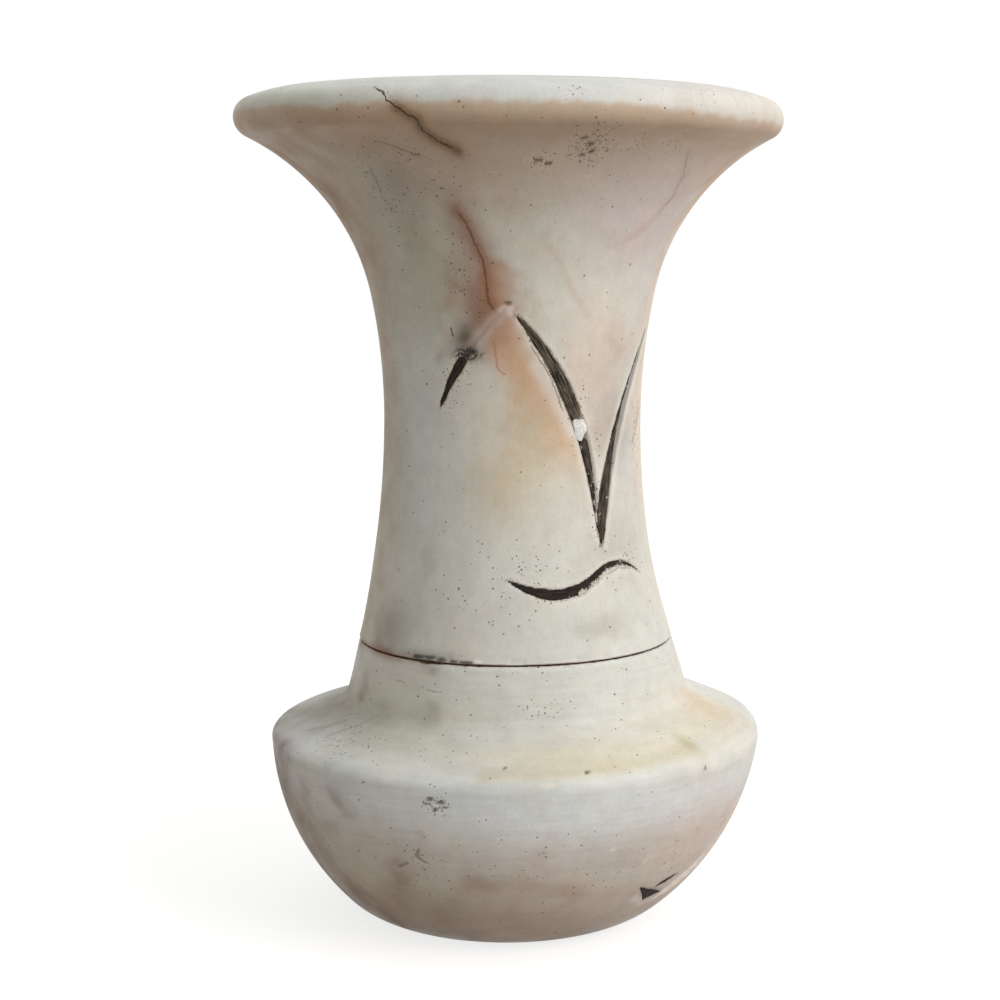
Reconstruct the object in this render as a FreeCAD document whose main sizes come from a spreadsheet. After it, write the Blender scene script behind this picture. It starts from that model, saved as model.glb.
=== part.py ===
import FreeCAD, Part
import math
import os
import Sketcher
from FreeCAD import Placement, Rotation, Vector

# A carved alabaster vase in two turned pieces.
# A trumpet neck stands with a spigot in the collar of a hollow bowl, bedded in dark cement.
# A zigzag and a wave are cut into the neck, and one more stroke into the bowl.
# The strokes hold a dark filling, and white plaster mends one of them.
# Origin: the middle of the foot's underside. +Z is up, and the decorated side faces -Y.
# Lengths are in millimetres and angles in degrees.

SIZES = {
    # Neck, outside: the waist rises from the seam
    "seam_radius": 46.8,
    "waist_radius": 37.9,
    "waist_rise": 65.8,
    "upper_flare_radius": 175.6,
    "upper_flare_angle": 12.1,
    "under_lip_radius": 65.0,
    "under_lip_angle": 51.3,
    "lip_edge_radius": 5.7,
    "lip_edge_angle": 131.1,
    "lip_crown_radius": 40.0,
    # Neck, inside
    "bore_radius": 29.0,
    "mouth_edge_radius": 5.0,
    "mouth_flare_angle": 54.0,
    # Joint between neck and bowl
    "spigot_radius": 38.0,
    "spigot_depth": 9.0,
    "seam_gap": 0.6,
    "sleeve_gap": 0.6,
    "seam_recess": 0.7,
    "cement_ledge": 3.0,
    # Bowl, outside: the seam rises from the bowl's widest place
    "seam_rise": 28.7,
    "collar_angle": 14.7,
    "collar_round_radius": 7.0,
    "shoulder_angle": 21.5,
    "bowl_radius": 72.9,
    "bowl_edge_radius": 4.5,
    "belly_swell": 0.3,
    "belly_parting_angle": 12.0,
    "heel_angle": 47.4,
    "heel_radius": 25.1,
    # Bowl, inside
    "bowl_wall": 12.0,
    "cavity_drop": 10.0,
    "cavity_edge_radius": 8.0,
    "cavity_heel_radius": 10.0,
    "throat_round_radius": 8.0,
    "floor_thickness": 14.0,
    # Cut strokes in general
    "groove_depth": 1.8,
    "filling_recess": 0.3,
    "overrun": 5.0,
    "bowl_band_low_angle": 46.0,
    "bowl_band_high_angle": 20.0,
    # Zigzag, first stroke: x across the stroke's own plane, rise from the waist
    "first_azimuth": -17.0,
    "first_head_x": 10.4,
    "first_head_rise": 33.4,
    "first_foot_x": -10.4,
    "first_foot_rise": 5.2,
    "first_bow": -2.1,
    "first_width": 2.8,
    "first_break_rise": 19.4,
    # Zigzag, second stroke
    "second_azimuth": 22.0,
    "second_head_x": -15.3,
    "second_head_rise": 32.3,
    "second_foot_x": 10.6,
    "second_foot_rise": -32.0,
    "second_bow": 6.8,
    "second_width": 4.0,
    # Zigzag, third stroke
    "third_azimuth": 56.0,
    "third_head_x": 13.8,
    "third_head_rise": 27.0,
    "third_foot_x": -12.0,
    "third_foot_rise": -34.5,
    "third_bow": -4.2,
    "third_width": 4.2,
    # Plaster plug in the second stroke
    "plaster_x": 6.3,
    "plaster_rise": -3.2,
    "plaster_overlap": 0.3,
    "plaster_half_height": 3.0,
    # Wave below the zigzag
    "wave_azimuth": 30.0,
    "wave_left_x": -21.4,
    "wave_left_rise": -42.9,
    "wave_middle_x": 3.0,
    "wave_middle_rise": -44.0,
    "wave_right_x": 22.0,
    "wave_right_rise": -43.4,
    "wave_trough_bow": 3.9,
    "wave_crest_bow": 3.3,
    "wave_width": 3.0,
    # Stroke low on the bowl: x across its own plane, height above the ground
    "bowl_stroke_azimuth": 52.0,
    "bowl_stroke_left_x": -13.2,
    "bowl_stroke_left_height": 17.6,
    "bowl_stroke_right_x": 20.0,
    "bowl_stroke_right_height": 22.6,
    "bowl_stroke_bow": 0.4,
    "bowl_stroke_width": 3.6,
}

doc = FreeCAD.newDocument("alabaster_vase")
sheet = doc.addObject("Spreadsheet::Sheet", "Sizes")
for row, (name, number) in enumerate(SIZES.items(), start=1):
    sheet.set(f"A{row}", name)
    sheet.set(f"B{row}", str(number))
    sheet.setAlias(f"B{row}", name)
doc.recompute()


def size(name):
    """One driving dimension as a number."""
    return SIZES[name]


def cell(name):
    """The same dimension as an expression."""
    return f"Sizes.{name}"


def degrees(expression):
    return f"({expression}) * 1 deg"


class Outline:
    """A closed sketch in the upright plane of a body: x is across, y is up.

    A pen draws it edge by edge, and each edge starts where the last one ended.
    Each edge's radius, slope and place is then bound to the driving sizes.
    """

    def __init__(self, body, name):
        self.sketch = body.newObject("Sketcher::SketchObject", name)
        plane = next(feature for feature in body.Origin.OriginFeatures if feature.Role == "XZ_Plane")
        self.sketch.AttachmentSupport = [(plane, "")]
        self.sketch.MapMode = "FlatFace"
        self.edges = []
        self.pen = Vector()
        self.heading = 0.0

    def start(self, x, y, heading=0.0):
        self.pen = Vector(x, y)
        self.heading = heading

    def line_to(self, x, y):
        target = Vector(x, y)
        index = self.sketch.addGeometry(Part.LineSegment(self.pen, target), False)
        self.heading = math.degrees(math.atan2(target.y - self.pen.y, target.x - self.pen.x))
        self.pen = target
        return self._keep(index, 1, 2, False)

    def smooth_line(self, length):
        """A line straight on from the last edge."""
        way = math.radians(self.heading)
        index = self.line_to(self.pen.x + length * math.cos(way), self.pen.y + length * math.sin(way))
        self.edges[-1]["smooth"] = True
        return index

    def turn(self, radius, angle, smooth=True):
        """An arc that turns left by a positive angle and right by a negative one."""
        side = math.copysign(90.0, angle)
        to_centre = math.radians(self.heading + side)
        centre = self.pen + Vector(radius * math.cos(to_centre), radius * math.sin(to_centre))
        first = self.heading - side
        last = first + angle
        low, high = sorted((math.radians(first), math.radians(last)))
        circle = Part.Circle(centre, Vector(0, 0, 1), radius)
        index = self.sketch.addGeometry(Part.ArcOfCircle(circle, low, high), False)
        out = math.radians(last)
        self.pen = centre + Vector(radius * math.cos(out), radius * math.sin(out))
        self.heading += angle
        ends = (1, 2) if angle > 0 else (2, 1)
        return self._keep(index, *ends, smooth)

    def bow_to(self, x, y, bow):
        """An arc to a point, bulging left of the way by the bow, or right if that is negative."""
        chord = Vector(x, y) - self.pen
        half_turn = 2 * math.degrees(math.atan(2 * bow / chord.Length))
        self.heading = math.degrees(math.atan2(chord.y, chord.x)) + half_turn
        radius = chord.Length ** 2 / (8 * abs(bow)) + abs(bow) / 2
        return self.turn(radius, -2 * half_turn, smooth=False)

    def _keep(self, index, entry, leave, smooth):
        self.edges.append({"index": index, "entry": entry, "leave": leave, "smooth": smooth})
        return index

    def close(self):
        """Joins each edge to the one before it, end to end. The last meets the first in a corner."""
        self.edges[0]["smooth"] = False
        for before, edge in zip([self.edges[-1]] + self.edges[:-1], self.edges):
            kind = "Tangent" if edge["smooth"] else "Coincident"
            ends = (before["index"], before["leave"], edge["index"], edge["entry"])
            self.sketch.addConstraint(Sketcher.Constraint(kind, *ends))

    def place(self, index, point, x=None, y=None):
        """Binds a point of an edge: 1 is its start, 2 its end and 3 its centre."""
        spot = self.sketch.getPoint(index, point)
        for kind, value, expression in (("DistanceX", spot.x, x), ("DistanceY", spot.y, y)):
            if expression is not None:
                self._bind(Sketcher.Constraint(kind, -1, 1, index, point, value), expression)

    def on_origin(self, index, point):
        self.sketch.addConstraint(Sketcher.Constraint("Coincident", index, point, -1, 1))

    def radius(self, index, expression):
        drawn = self.sketch.Geometry[index].Radius
        self._bind(Sketcher.Constraint("Radius", index, drawn), expression)

    def sweep(self, index, expression):
        arc = self.sketch.Geometry[index]
        drawn = arc.LastParameter - arc.FirstParameter
        self._bind(Sketcher.Constraint("Angle", index, drawn), degrees(expression))

    def slope(self, index, expression):
        """Binds the way a line points, against the x axis."""
        drawn = self.sketch.Geometry[index]
        way = drawn.EndPoint - drawn.StartPoint
        angle = math.atan2(way.y, way.x)
        self._bind(Sketcher.Constraint("Angle", index, angle), degrees(expression))

    def level(self, *indices):
        for index in indices:
            self.sketch.addConstraint(Sketcher.Constraint("Horizontal", index))

    def upright(self, *indices):
        for index in indices:
            self.sketch.addConstraint(Sketcher.Constraint("Vertical", index))

    def in_line(self, kind, index, point, other, other_point):
        """Keeps two points level ("Horizontal") or one above the other ("Vertical")."""
        self.sketch.addConstraint(Sketcher.Constraint(kind, index, point, other, other_point))

    def _bind(self, constraint, expression):
        number = self.sketch.addConstraint(constraint)
        self.sketch.setExpression(f"Constraints[{number}]", expression)


def new_body(name, label=None):
    body = doc.addObject("PartDesign::Body", name)
    body.Label = label or name
    return body


def revolve(body, outline, kind="PartDesign::Revolution"):
    """A full turn of the outline about the vase's axis."""
    feature = body.newObject(kind, f"{outline.sketch.Name}_turned")
    feature.Profile = outline.sketch
    feature.ReferenceAxis = (outline.sketch, ["V_Axis"])
    feature.Angle = 360.0
    outline.sketch.Visibility = False
    body.Tip = feature
    doc.recompute()
    return feature


def boolean(kind, name, base, tool, label=None):
    result = doc.addObject(f"Part::{kind}", name)
    result.Base = base
    result.Tool = tool
    result.Label = label or name
    return result


# Radii and heights that several pieces share. The heights stack up from the ground:
# the belly's middle, the bowl's edge, the seam, and the waist.
BELLY_RADIUS = f"({cell('bowl_radius')} + {cell('belly_swell')})"
HEEL_SINE = f"sin({degrees(cell('heel_angle'))})"
BELLY_MIDDLE = f"({cell('heel_radius')} + ({BELLY_RADIUS} - {cell('heel_radius')}) * {HEEL_SINE})"
BELLY_REACH = f"({BELLY_RADIUS} - {cell('bowl_edge_radius')})"
EDGE_REACH = f"({cell('bowl_radius')} - {cell('bowl_edge_radius')})"
EDGE_HEIGHT = f"({BELLY_MIDDLE} - sqrt({BELLY_REACH} ^ 2 - {EDGE_REACH} ^ 2))"
SEAM_HEIGHT = f"({EDGE_HEIGHT} + {cell('seam_rise')})"
SEAM_FACE = f"({SEAM_HEIGHT} + {cell('seam_gap')})"
SOCKET_FLOOR = f"({SEAM_HEIGHT} - {cell('spigot_depth')})"
SOCKET_RADIUS = f"({cell('spigot_radius')} + {cell('sleeve_gap')})"
WAIST_HEIGHT = f"({SEAM_HEIGHT} + {cell('waist_rise')})"
FLARE_OUT = f"({cell('seam_radius')} - {cell('waist_radius')})"
FLARE_DROP = f"({cell('waist_rise')} - {cell('seam_gap')})"
LOWER_FLARE_RADIUS = f"({FLARE_OUT} ^ 2 + {FLARE_DROP} ^ 2) / (2 * {FLARE_OUT})"


def belly_radius():
    return size("bowl_radius") + size("belly_swell")


def belly_middle():
    """Height of the belly's centre on the axis."""
    reach = belly_radius() - size("heel_radius")
    return size("heel_radius") + reach * math.sin(math.radians(size("heel_angle")))


def edge_height():
    """Height of the bowl's widest place, where the edge's round sits inside the belly's circle."""
    reach = belly_radius() - size("bowl_edge_radius")
    across = size("bowl_radius") - size("bowl_edge_radius")
    return belly_middle() - math.sqrt(reach ** 2 - across ** 2)


def seam_height():
    return edge_height() + size("seam_rise")


def seam_face():
    return seam_height() + size("seam_gap")


def socket_floor():
    return seam_height() - size("spigot_depth")


def socket_radius():
    return size("spigot_radius") + size("sleeve_gap")


def waist_height():
    return seam_height() + size("waist_rise")


def lower_flare():
    """Radius and turn of the arc from the seam up to the waist."""
    out = size("seam_radius") - size("waist_radius")
    drop = size("waist_rise") - size("seam_gap")
    radius = (out ** 2 + drop ** 2) / (2 * out)
    return radius, 2 * math.degrees(math.atan(out / drop))


def make_neck_blank():
    """The trumpet: one closed outline of tangent arcs, with the spigot under the seam."""
    body = new_body("neck_blank")
    outline = Outline(body, "neck_outline")
    flare_radius, flare_turn = lower_flare()
    outline.start(size("seam_radius"), seam_face(), 90 + flare_turn)
    lower = outline.turn(flare_radius, -flare_turn)
    upper = outline.turn(size("upper_flare_radius"), -size("upper_flare_angle"))
    under_lip = outline.turn(size("under_lip_radius"), -size("under_lip_angle"))
    lip_edge = outline.turn(size("lip_edge_radius"), size("lip_edge_angle"))
    crown = outline.turn(size("lip_crown_radius"), 180 - outline.heading)
    mouth_edge = outline.turn(size("mouth_edge_radius"), 90 - size("mouth_flare_angle"))
    way_in = outline.pen.x - size("bore_radius")
    mouth_radius = way_in / (1 - math.cos(math.radians(size("mouth_flare_angle"))))
    mouth_flare = outline.turn(mouth_radius, size("mouth_flare_angle"))
    foot = socket_floor() + size("seam_gap")
    bore = outline.smooth_line(outline.pen.y - foot)
    spigot_end = outline.line_to(size("spigot_radius"), foot)
    spigot_side = outline.line_to(size("spigot_radius"), seam_face())
    seam = outline.line_to(size("seam_radius"), seam_face())
    outline.close()
    outline.place(lower, 2, x=cell("seam_radius"), y=SEAM_FACE)
    outline.place(lower, 1, x=cell("waist_radius"), y=WAIST_HEIGHT)
    outline.in_line("Horizontal", lower, 1, lower, 3)
    outline.radius(upper, cell("upper_flare_radius"))
    outline.sweep(upper, cell("upper_flare_angle"))
    outline.radius(under_lip, cell("under_lip_radius"))
    outline.sweep(under_lip, cell("under_lip_angle"))
    outline.radius(lip_edge, cell("lip_edge_radius"))
    outline.sweep(lip_edge, cell("lip_edge_angle"))
    outline.radius(crown, cell("lip_crown_radius"))
    outline.in_line("Vertical", crown, 2, crown, 3)
    outline.radius(mouth_edge, cell("mouth_edge_radius"))
    outline.sweep(mouth_flare, cell("mouth_flare_angle"))
    outline.upright(bore, spigot_side)
    outline.level(spigot_end, seam)
    outline.place(bore, 2, x=cell("bore_radius"), y=f"{SOCKET_FLOOR} + {cell('seam_gap')}")
    outline.place(spigot_side, 1, x=cell("spigot_radius"))
    revolve(body, outline)
    return body


def make_bowl_blank():
    """The bowl: a turned outside with a collar, then the socket and the hollow cut out of it."""
    body = new_body("bowl_blank")
    cut_bowl_outside(body)
    cut_bowl_hollow(body)
    return body


def cut_bowl_outside(body):
    outline = Outline(body, "bowl_outline")
    across = size("bowl_radius") - size("bowl_edge_radius")
    lean = math.degrees(math.acos(across / (belly_radius() - size("bowl_edge_radius"))))
    reach = belly_radius() - size("heel_radius")
    foot = outline.line_to(reach * math.cos(math.radians(size("heel_angle"))), 0)
    heel = outline.turn(size("heel_radius"), 90 - size("heel_angle"))
    low_belly = outline.turn(belly_radius(), size("heel_angle") - size("belly_parting_angle"))
    high_belly = outline.turn(belly_radius(), size("belly_parting_angle") - lean)
    edge = outline.turn(size("bowl_edge_radius"), lean + 90 - size("shoulder_angle"))
    # The shoulder's line and the collar's line meet in a corner that the round replaces
    shoulder_way = math.radians(outline.heading)
    collar_way = math.radians(90 + size("collar_angle"))
    inward = size("seam_radius") - outline.pen.x
    up = seam_height() - outline.pen.y
    cross = math.cos(shoulder_way) * math.sin(collar_way) - math.sin(shoulder_way) * math.cos(collar_way)
    to_corner = (inward * math.sin(collar_way) - up * math.cos(collar_way)) / cross
    turn = 90 - size("shoulder_angle") - size("collar_angle")
    tangent = size("collar_round_radius") * math.tan(math.radians(turn) / 2)
    shoulder = outline.smooth_line(to_corner - tangent)
    collar_round = outline.turn(size("collar_round_radius"), -turn)
    rest = math.hypot(size("seam_radius") - outline.pen.x, seam_height() - outline.pen.y)
    collar = outline.smooth_line(rest)
    top = outline.line_to(0, seam_height())
    axis = outline.line_to(0, 0)
    outline.close()
    outline.on_origin(foot, 1)
    outline.level(foot, top)
    outline.upright(axis)
    outline.radius(heel, cell("heel_radius"))
    # The stroke is cut in the low part of the belly, which parts from the high part at an angle
    outline.radius(low_belly, BELLY_RADIUS)
    outline.place(low_belly, 3, x="0", y=BELLY_MIDDLE)
    outline.radius(high_belly, BELLY_RADIUS)
    parting_sine = f"sin({degrees(cell('belly_parting_angle'))})"
    outline.place(high_belly, 1, y=f"{BELLY_MIDDLE} - {BELLY_RADIUS} * {parting_sine}")
    outline.radius(edge, cell("bowl_edge_radius"))
    outline.place(edge, 3, x=EDGE_REACH)
    outline.slope(shoulder, f"180 - {cell('shoulder_angle')}")
    outline.radius(collar_round, cell("collar_round_radius"))
    outline.slope(collar, f"90 + {cell('collar_angle')}")
    outline.place(collar, 2, x=cell("seam_radius"), y=SEAM_HEIGHT)
    revolve(body, outline)


def cut_bowl_hollow(body):
    """Socket, throat and hollow in one turned cut, open at the top of the collar."""
    outline = Outline(body, "hollow_outline")
    cavity_radius = belly_radius() - size("bowl_wall")
    floor_height = size("floor_thickness")
    heel_reach = cavity_radius - size("cavity_heel_radius")
    heel_drop = belly_middle() - floor_height - size("cavity_heel_radius")
    low_turn = math.degrees(math.asin(heel_drop / heel_reach))
    edge_reach = cavity_radius - size("cavity_edge_radius")
    edge_drop = belly_middle() - edge_height() + size("cavity_drop")
    high_turn = math.degrees(math.asin(edge_drop / edge_reach))
    outline.start(0, floor_height)
    floor = outline.line_to(heel_reach * math.cos(math.radians(low_turn)), floor_height)
    heel = outline.turn(size("cavity_heel_radius"), 90 - low_turn)
    wall = outline.turn(cavity_radius, low_turn - high_turn)
    edge = outline.turn(size("cavity_edge_radius"), high_turn + 90 - size("shoulder_angle"))
    # The roof's line meets the throat's line in a corner that the round replaces
    roof_way = math.radians(outline.heading)
    to_corner = (size("bore_radius") - outline.pen.x) / math.cos(roof_way)
    turn = 90 - size("shoulder_angle")
    roof = outline.smooth_line(to_corner - size("throat_round_radius") * math.tan(math.radians(turn) / 2))
    throat_round = outline.turn(size("throat_round_radius"), -turn)
    top = seam_height() + size("overrun")
    throat = outline.smooth_line(socket_floor() - outline.pen.y)
    seat = outline.line_to(socket_radius(), socket_floor())
    side = outline.line_to(socket_radius(), top)
    lid = outline.line_to(0, top)
    axis = outline.line_to(0, floor_height)
    outline.close()
    outline.level(floor, seat, lid)
    outline.upright(throat, side, axis)
    outline.place(floor, 1, x="0", y=cell("floor_thickness"))
    outline.radius(heel, cell("cavity_heel_radius"))
    outline.radius(wall, f"{BELLY_RADIUS} - {cell('bowl_wall')}")
    outline.place(wall, 3, x="0", y=BELLY_MIDDLE)
    outline.radius(edge, cell("cavity_edge_radius"))
    outline.place(edge, 3, y=f"{EDGE_HEIGHT} - {cell('cavity_drop')}")
    outline.slope(roof, f"180 - {cell('shoulder_angle')}")
    outline.radius(throat_round, cell("throat_round_radius"))
    outline.place(throat, 2, x=cell("bore_radius"), y=SOCKET_FLOOR)
    outline.place(side, 2, x=SOCKET_RADIUS, y=f"{SEAM_HEIGHT} + {cell('overrun')}")
    solid = body.Tip.Shape.Volume
    revolve(body, outline, "PartDesign::Groove")
    assert body.Tip.Shape.Volume < solid


def make_seam_cement():
    """The cement bed: a ring under the neck's face, a sleeve round the spigot and a ledge below it."""
    body = new_body("seam_cement")
    outline = Outline(body, "cement_outline")
    ledge_radius = size("bore_radius") + size("cement_ledge")
    rim_radius = size("seam_radius") - size("seam_recess")
    ledge_top = socket_floor() + size("seam_gap")
    outline.start(ledge_radius, socket_floor())
    ledge_under = outline.line_to(socket_radius(), socket_floor())
    sleeve_outside = outline.line_to(socket_radius(), seam_height())
    bed_under = outline.line_to(rim_radius, seam_height())
    bed_edge = outline.line_to(rim_radius, seam_face())
    bed_top = outline.line_to(size("spigot_radius"), seam_face())
    sleeve_inside = outline.line_to(size("spigot_radius"), ledge_top)
    ledge_face = outline.line_to(ledge_radius, ledge_top)
    ledge_edge = outline.line_to(ledge_radius, socket_floor())
    outline.close()
    outline.level(ledge_under, bed_under, bed_top, ledge_face)
    outline.upright(sleeve_outside, bed_edge, sleeve_inside, ledge_edge)
    outline.place(ledge_under, 1, x=f"{cell('bore_radius')} + {cell('cement_ledge')}", y=SOCKET_FLOOR)
    outline.place(sleeve_outside, 2, x=SOCKET_RADIUS, y=SEAM_HEIGHT)
    outline.place(bed_edge, 2, x=f"{cell('seam_radius')} - {cell('seam_recess')}", y=SEAM_FACE)
    outline.place(sleeve_inside, 2, x=cell("spigot_radius"), y=f"{SOCKET_FLOOR} + {cell('seam_gap')}")
    revolve(body, outline)
    return body


def make_neck_band(name, outside, inside, out_by, in_by):
    """A thin turned skin that follows the neck's two flares, at two depths under its surface."""
    body = new_body(name)
    outline = Outline(body, f"{name}_outline")
    radius, turn = lower_flare()
    centre_x = size("waist_radius") + radius
    drop = size("waist_rise") - size("seam_gap")
    outer_turn = math.degrees(math.asin(drop / (radius + out_by)))
    inner_turn = math.degrees(math.asin(drop / (radius + in_by)))
    foot_x = centre_x - (radius + out_by) * math.cos(math.radians(outer_turn))
    outline.start(foot_x, seam_face(), 90 + outer_turn)
    outer_low = outline.turn(radius + out_by, -outer_turn)
    outer_high = outline.turn(size("upper_flare_radius") + out_by, -size("upper_flare_angle"))
    head = math.radians(180 - size("upper_flare_angle"))
    step = Vector(math.cos(head), math.sin(head)) * (in_by - out_by)
    end = outline.pen + step
    outline.line_to(end.x, end.y)
    outline.heading = 270 - size("upper_flare_angle")
    inner_high = outline.turn(size("upper_flare_radius") + in_by, size("upper_flare_angle"), smooth=False)
    inner_low = outline.turn(radius + in_by, inner_turn)
    ground = outline.line_to(foot_x, seam_face())
    outline.close()
    outline.level(ground)
    outline.place(outer_low, 2, y=SEAM_FACE)
    outline.place(outer_low, 3, x=f"{cell('waist_radius')} + {LOWER_FLARE_RADIUS}", y=WAIST_HEIGHT)
    outline.radius(outer_low, f"{LOWER_FLARE_RADIUS} + {outside}")
    outline.in_line("Horizontal", outer_low, 1, outer_low, 3)
    outline.radius(outer_high, f"{cell('upper_flare_radius')} + {outside}")
    outline.sweep(outer_high, cell("upper_flare_angle"))
    outline.radius(inner_high, f"{cell('upper_flare_radius')} + {inside}")
    outline.sweep(inner_high, cell("upper_flare_angle"))
    outline.radius(inner_low, f"{LOWER_FLARE_RADIUS} + {inside}")
    outline.in_line("Horizontal", inner_low, 1, inner_low, 3)
    outline.place(inner_low, 3, x=f"{cell('waist_radius')} + {LOWER_FLARE_RADIUS}", y=WAIST_HEIGHT)
    revolve(body, outline)
    return body


def make_bowl_band(name, outside, inside, out_by, in_by):
    """A thin turned skin that follows the belly, at two depths under its surface."""
    body = new_body(name)
    outline = Outline(body, f"{name}_outline")
    middle = belly_middle()
    low = math.radians(size("bowl_band_low_angle"))
    high = math.radians(size("bowl_band_high_angle"))
    sweep = size("bowl_band_low_angle") - size("bowl_band_high_angle")
    outer = belly_radius() - out_by
    inner = belly_radius() - in_by
    outline.start(outer * math.cos(low), middle - outer * math.sin(low), 90 - size("bowl_band_low_angle"))
    outer_arc = outline.turn(outer, sweep)
    outline.line_to(inner * math.cos(high), middle - inner * math.sin(high))
    outline.heading = 270 - size("bowl_band_high_angle")
    inner_arc = outline.turn(inner, -sweep, smooth=False)
    outline.line_to(outer * math.cos(low), middle - outer * math.sin(low))
    outline.close()
    high_sine = f"sin({degrees(cell('bowl_band_high_angle'))})"
    for arc, depth in ((outer_arc, outside), (inner_arc, inside)):
        outline.place(arc, 3, x="0", y=BELLY_MIDDLE)
        outline.radius(arc, f"{BELLY_RADIUS} - {depth}")
        outline.sweep(arc, f"{cell('bowl_band_low_angle')} - {cell('bowl_band_high_angle')}")
        outline.place(arc, 2, y=f"{BELLY_MIDDLE} - ({BELLY_RADIUS} - {depth}) * {high_sine}")
    revolve(body, outline)
    return body


def pad_out(body, outline, azimuth):
    """Pushes a stroke's outline from the axis out through the wall, at the stroke's azimuth."""
    pad = body.newObject("PartDesign::Pad", f"{outline.sketch.Name}_pad")
    pad.Profile = outline.sketch
    pad.setExpression("Length", cell("bowl_radius"))
    outline.sketch.Visibility = False
    body.Tip = pad
    body.Placement = Placement(Vector(), Rotation(Vector(0, 0, 1), size(azimuth)))
    body.setExpression("Placement.Rotation.Angle", degrees(cell(azimuth)))
    doc.recompute()
    return body


def bow_radius(dx, dy, bow):
    """Expression for the radius of an arc from its chord and its bow."""
    return f"(({dx}) ^ 2 + ({dy}) ^ 2) / (8 * abs({bow})) + abs({bow}) / 2"


def make_slim_stroke(stroke, foot, head, rise, base, base_cell, name=None, spare=0, spare_cell="0"):
    """A cut stroke that tapers to both ends: two arcs between its foot and its head.

    Spare bow on the right arc makes a tool that also takes what lies beyond the stroke.
    """
    body = new_body(f"{name or stroke}_tool")
    outline = Outline(body, f"{name or stroke}_outline")
    foot_x, foot_y = f"{stroke}_{foot}_x", f"{stroke}_{foot}_{rise}"
    head_x, head_y = f"{stroke}_{head}_x", f"{stroke}_{head}_{rise}"
    bow, width = size(f"{stroke}_bow"), size(f"{stroke}_width")
    outline.start(size(foot_x), base + size(foot_y))
    left = outline.bow_to(size(head_x), base + size(head_y), width / 2 - bow)
    right = outline.bow_to(size(foot_x), base + size(foot_y), width / 2 + bow + spare)
    outline.close()
    foot_end = outline.edges[0]["entry"]
    outline.place(left, foot_end, x=cell(foot_x), y=f"{base_cell} + {cell(foot_y)}")
    outline.place(left, 3 - foot_end, x=cell(head_x), y=f"{base_cell} + {cell(head_y)}")
    dx = f"{cell(head_x)} - {cell(foot_x)}"
    dy = f"{cell(head_y)} - {cell(foot_y)}"
    half_width = f"{cell(f'{stroke}_width')} / 2"
    outline.radius(left, bow_radius(dx, dy, f"{half_width} - {cell(f'{stroke}_bow')}"))
    outline.radius(right, bow_radius(dx, dy, f"{half_width} + {cell(f'{stroke}_bow')} + {spare_cell}"))
    return pad_out(body, outline, f"{stroke}_azimuth")


def make_wave_stroke():
    """The wave: a trough and a crest, widest in the middle and pointed at both ends."""
    body = new_body("wave_tool")
    outline = Outline(body, "wave_outline")
    waist = waist_height()
    half = size("wave_width") / 2
    left = (size("wave_left_x"), waist + size("wave_left_rise"))
    right = (size("wave_right_x"), waist + size("wave_right_rise"))
    middle_x, middle_y = size("wave_middle_x"), waist + size("wave_middle_rise")
    trough, crest = size("wave_trough_bow"), size("wave_crest_bow")
    outline.start(*left)
    low_trough = outline.bow_to(middle_x, middle_y - half, -trough - half / 2)
    low_crest = outline.bow_to(*right, crest - half / 2)
    high_crest = outline.bow_to(middle_x, middle_y + half, -crest - half / 2)
    high_trough = outline.bow_to(*left, trough - half / 2)
    outline.close()
    half_cell = f"{cell('wave_width')} / 2"
    middle_cell = f"{WAIST_HEIGHT} + {cell('wave_middle_rise')}"
    arcs = (
        (low_trough, "left", "-", "wave_trough_bow", "+"),
        (low_crest, "right", "-", "wave_crest_bow", "-"),
        (high_crest, "right", "+", "wave_crest_bow", "+"),
        (high_trough, "left", "+", "wave_trough_bow", "-"),
    )
    for index, end, side, bow, more in arcs:
        dx = f"{cell('wave_middle_x')} - {cell(f'wave_{end}_x')}"
        dy = f"{cell('wave_middle_rise')} {side} {half_cell} - {cell(f'wave_{end}_rise')}"
        outline.radius(index, bow_radius(dx, dy, f"{cell(bow)} {more} {half_cell} / 2"))
    for edge, end, side in ((0, "left", "-"), (2, "right", "+")):
        index = outline.edges[edge]["index"]
        entry = outline.edges[edge]["entry"]
        end_height = f"{WAIST_HEIGHT} + {cell(f'wave_{end}_rise')}"
        outline.place(index, entry, x=cell(f"wave_{end}_x"), y=end_height)
        outline.place(index, 3 - entry, x=cell("wave_middle_x"), y=f"{middle_cell} {side} {half_cell}")
    return pad_out(body, outline, "wave_azimuth")


def make_plaster_plug():
    """The outline of the mend: a lens that stands upright across the second stroke."""
    body = new_body("plaster_tool")
    outline = Outline(body, "plaster_outline")
    x = size("plaster_x")
    y = waist_height() + size("plaster_rise")
    tall = size("plaster_half_height")
    wide = size("second_width") / 2 + size("plaster_overlap")
    outline.start(x, y - tall)
    left = outline.bow_to(x, y + tall, wide)
    right = outline.bow_to(x, y - tall, wide)
    outline.close()
    middle = f"{WAIST_HEIGHT} + {cell('plaster_rise')}"
    entry = outline.edges[0]["entry"]
    outline.place(left, entry, x=cell("plaster_x"), y=f"{middle} - {cell('plaster_half_height')}")
    outline.place(left, 3 - entry, x=cell("plaster_x"), y=f"{middle} + {cell('plaster_half_height')}")
    chord = f"2 * {cell('plaster_half_height')}"
    reach = f"{cell('second_width')} / 2 + {cell('plaster_overlap')}"
    for index in (left, right):
        outline.radius(index, bow_radius("0", chord, f"({reach})"))
    return pad_out(body, outline, "second_azimuth")


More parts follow.
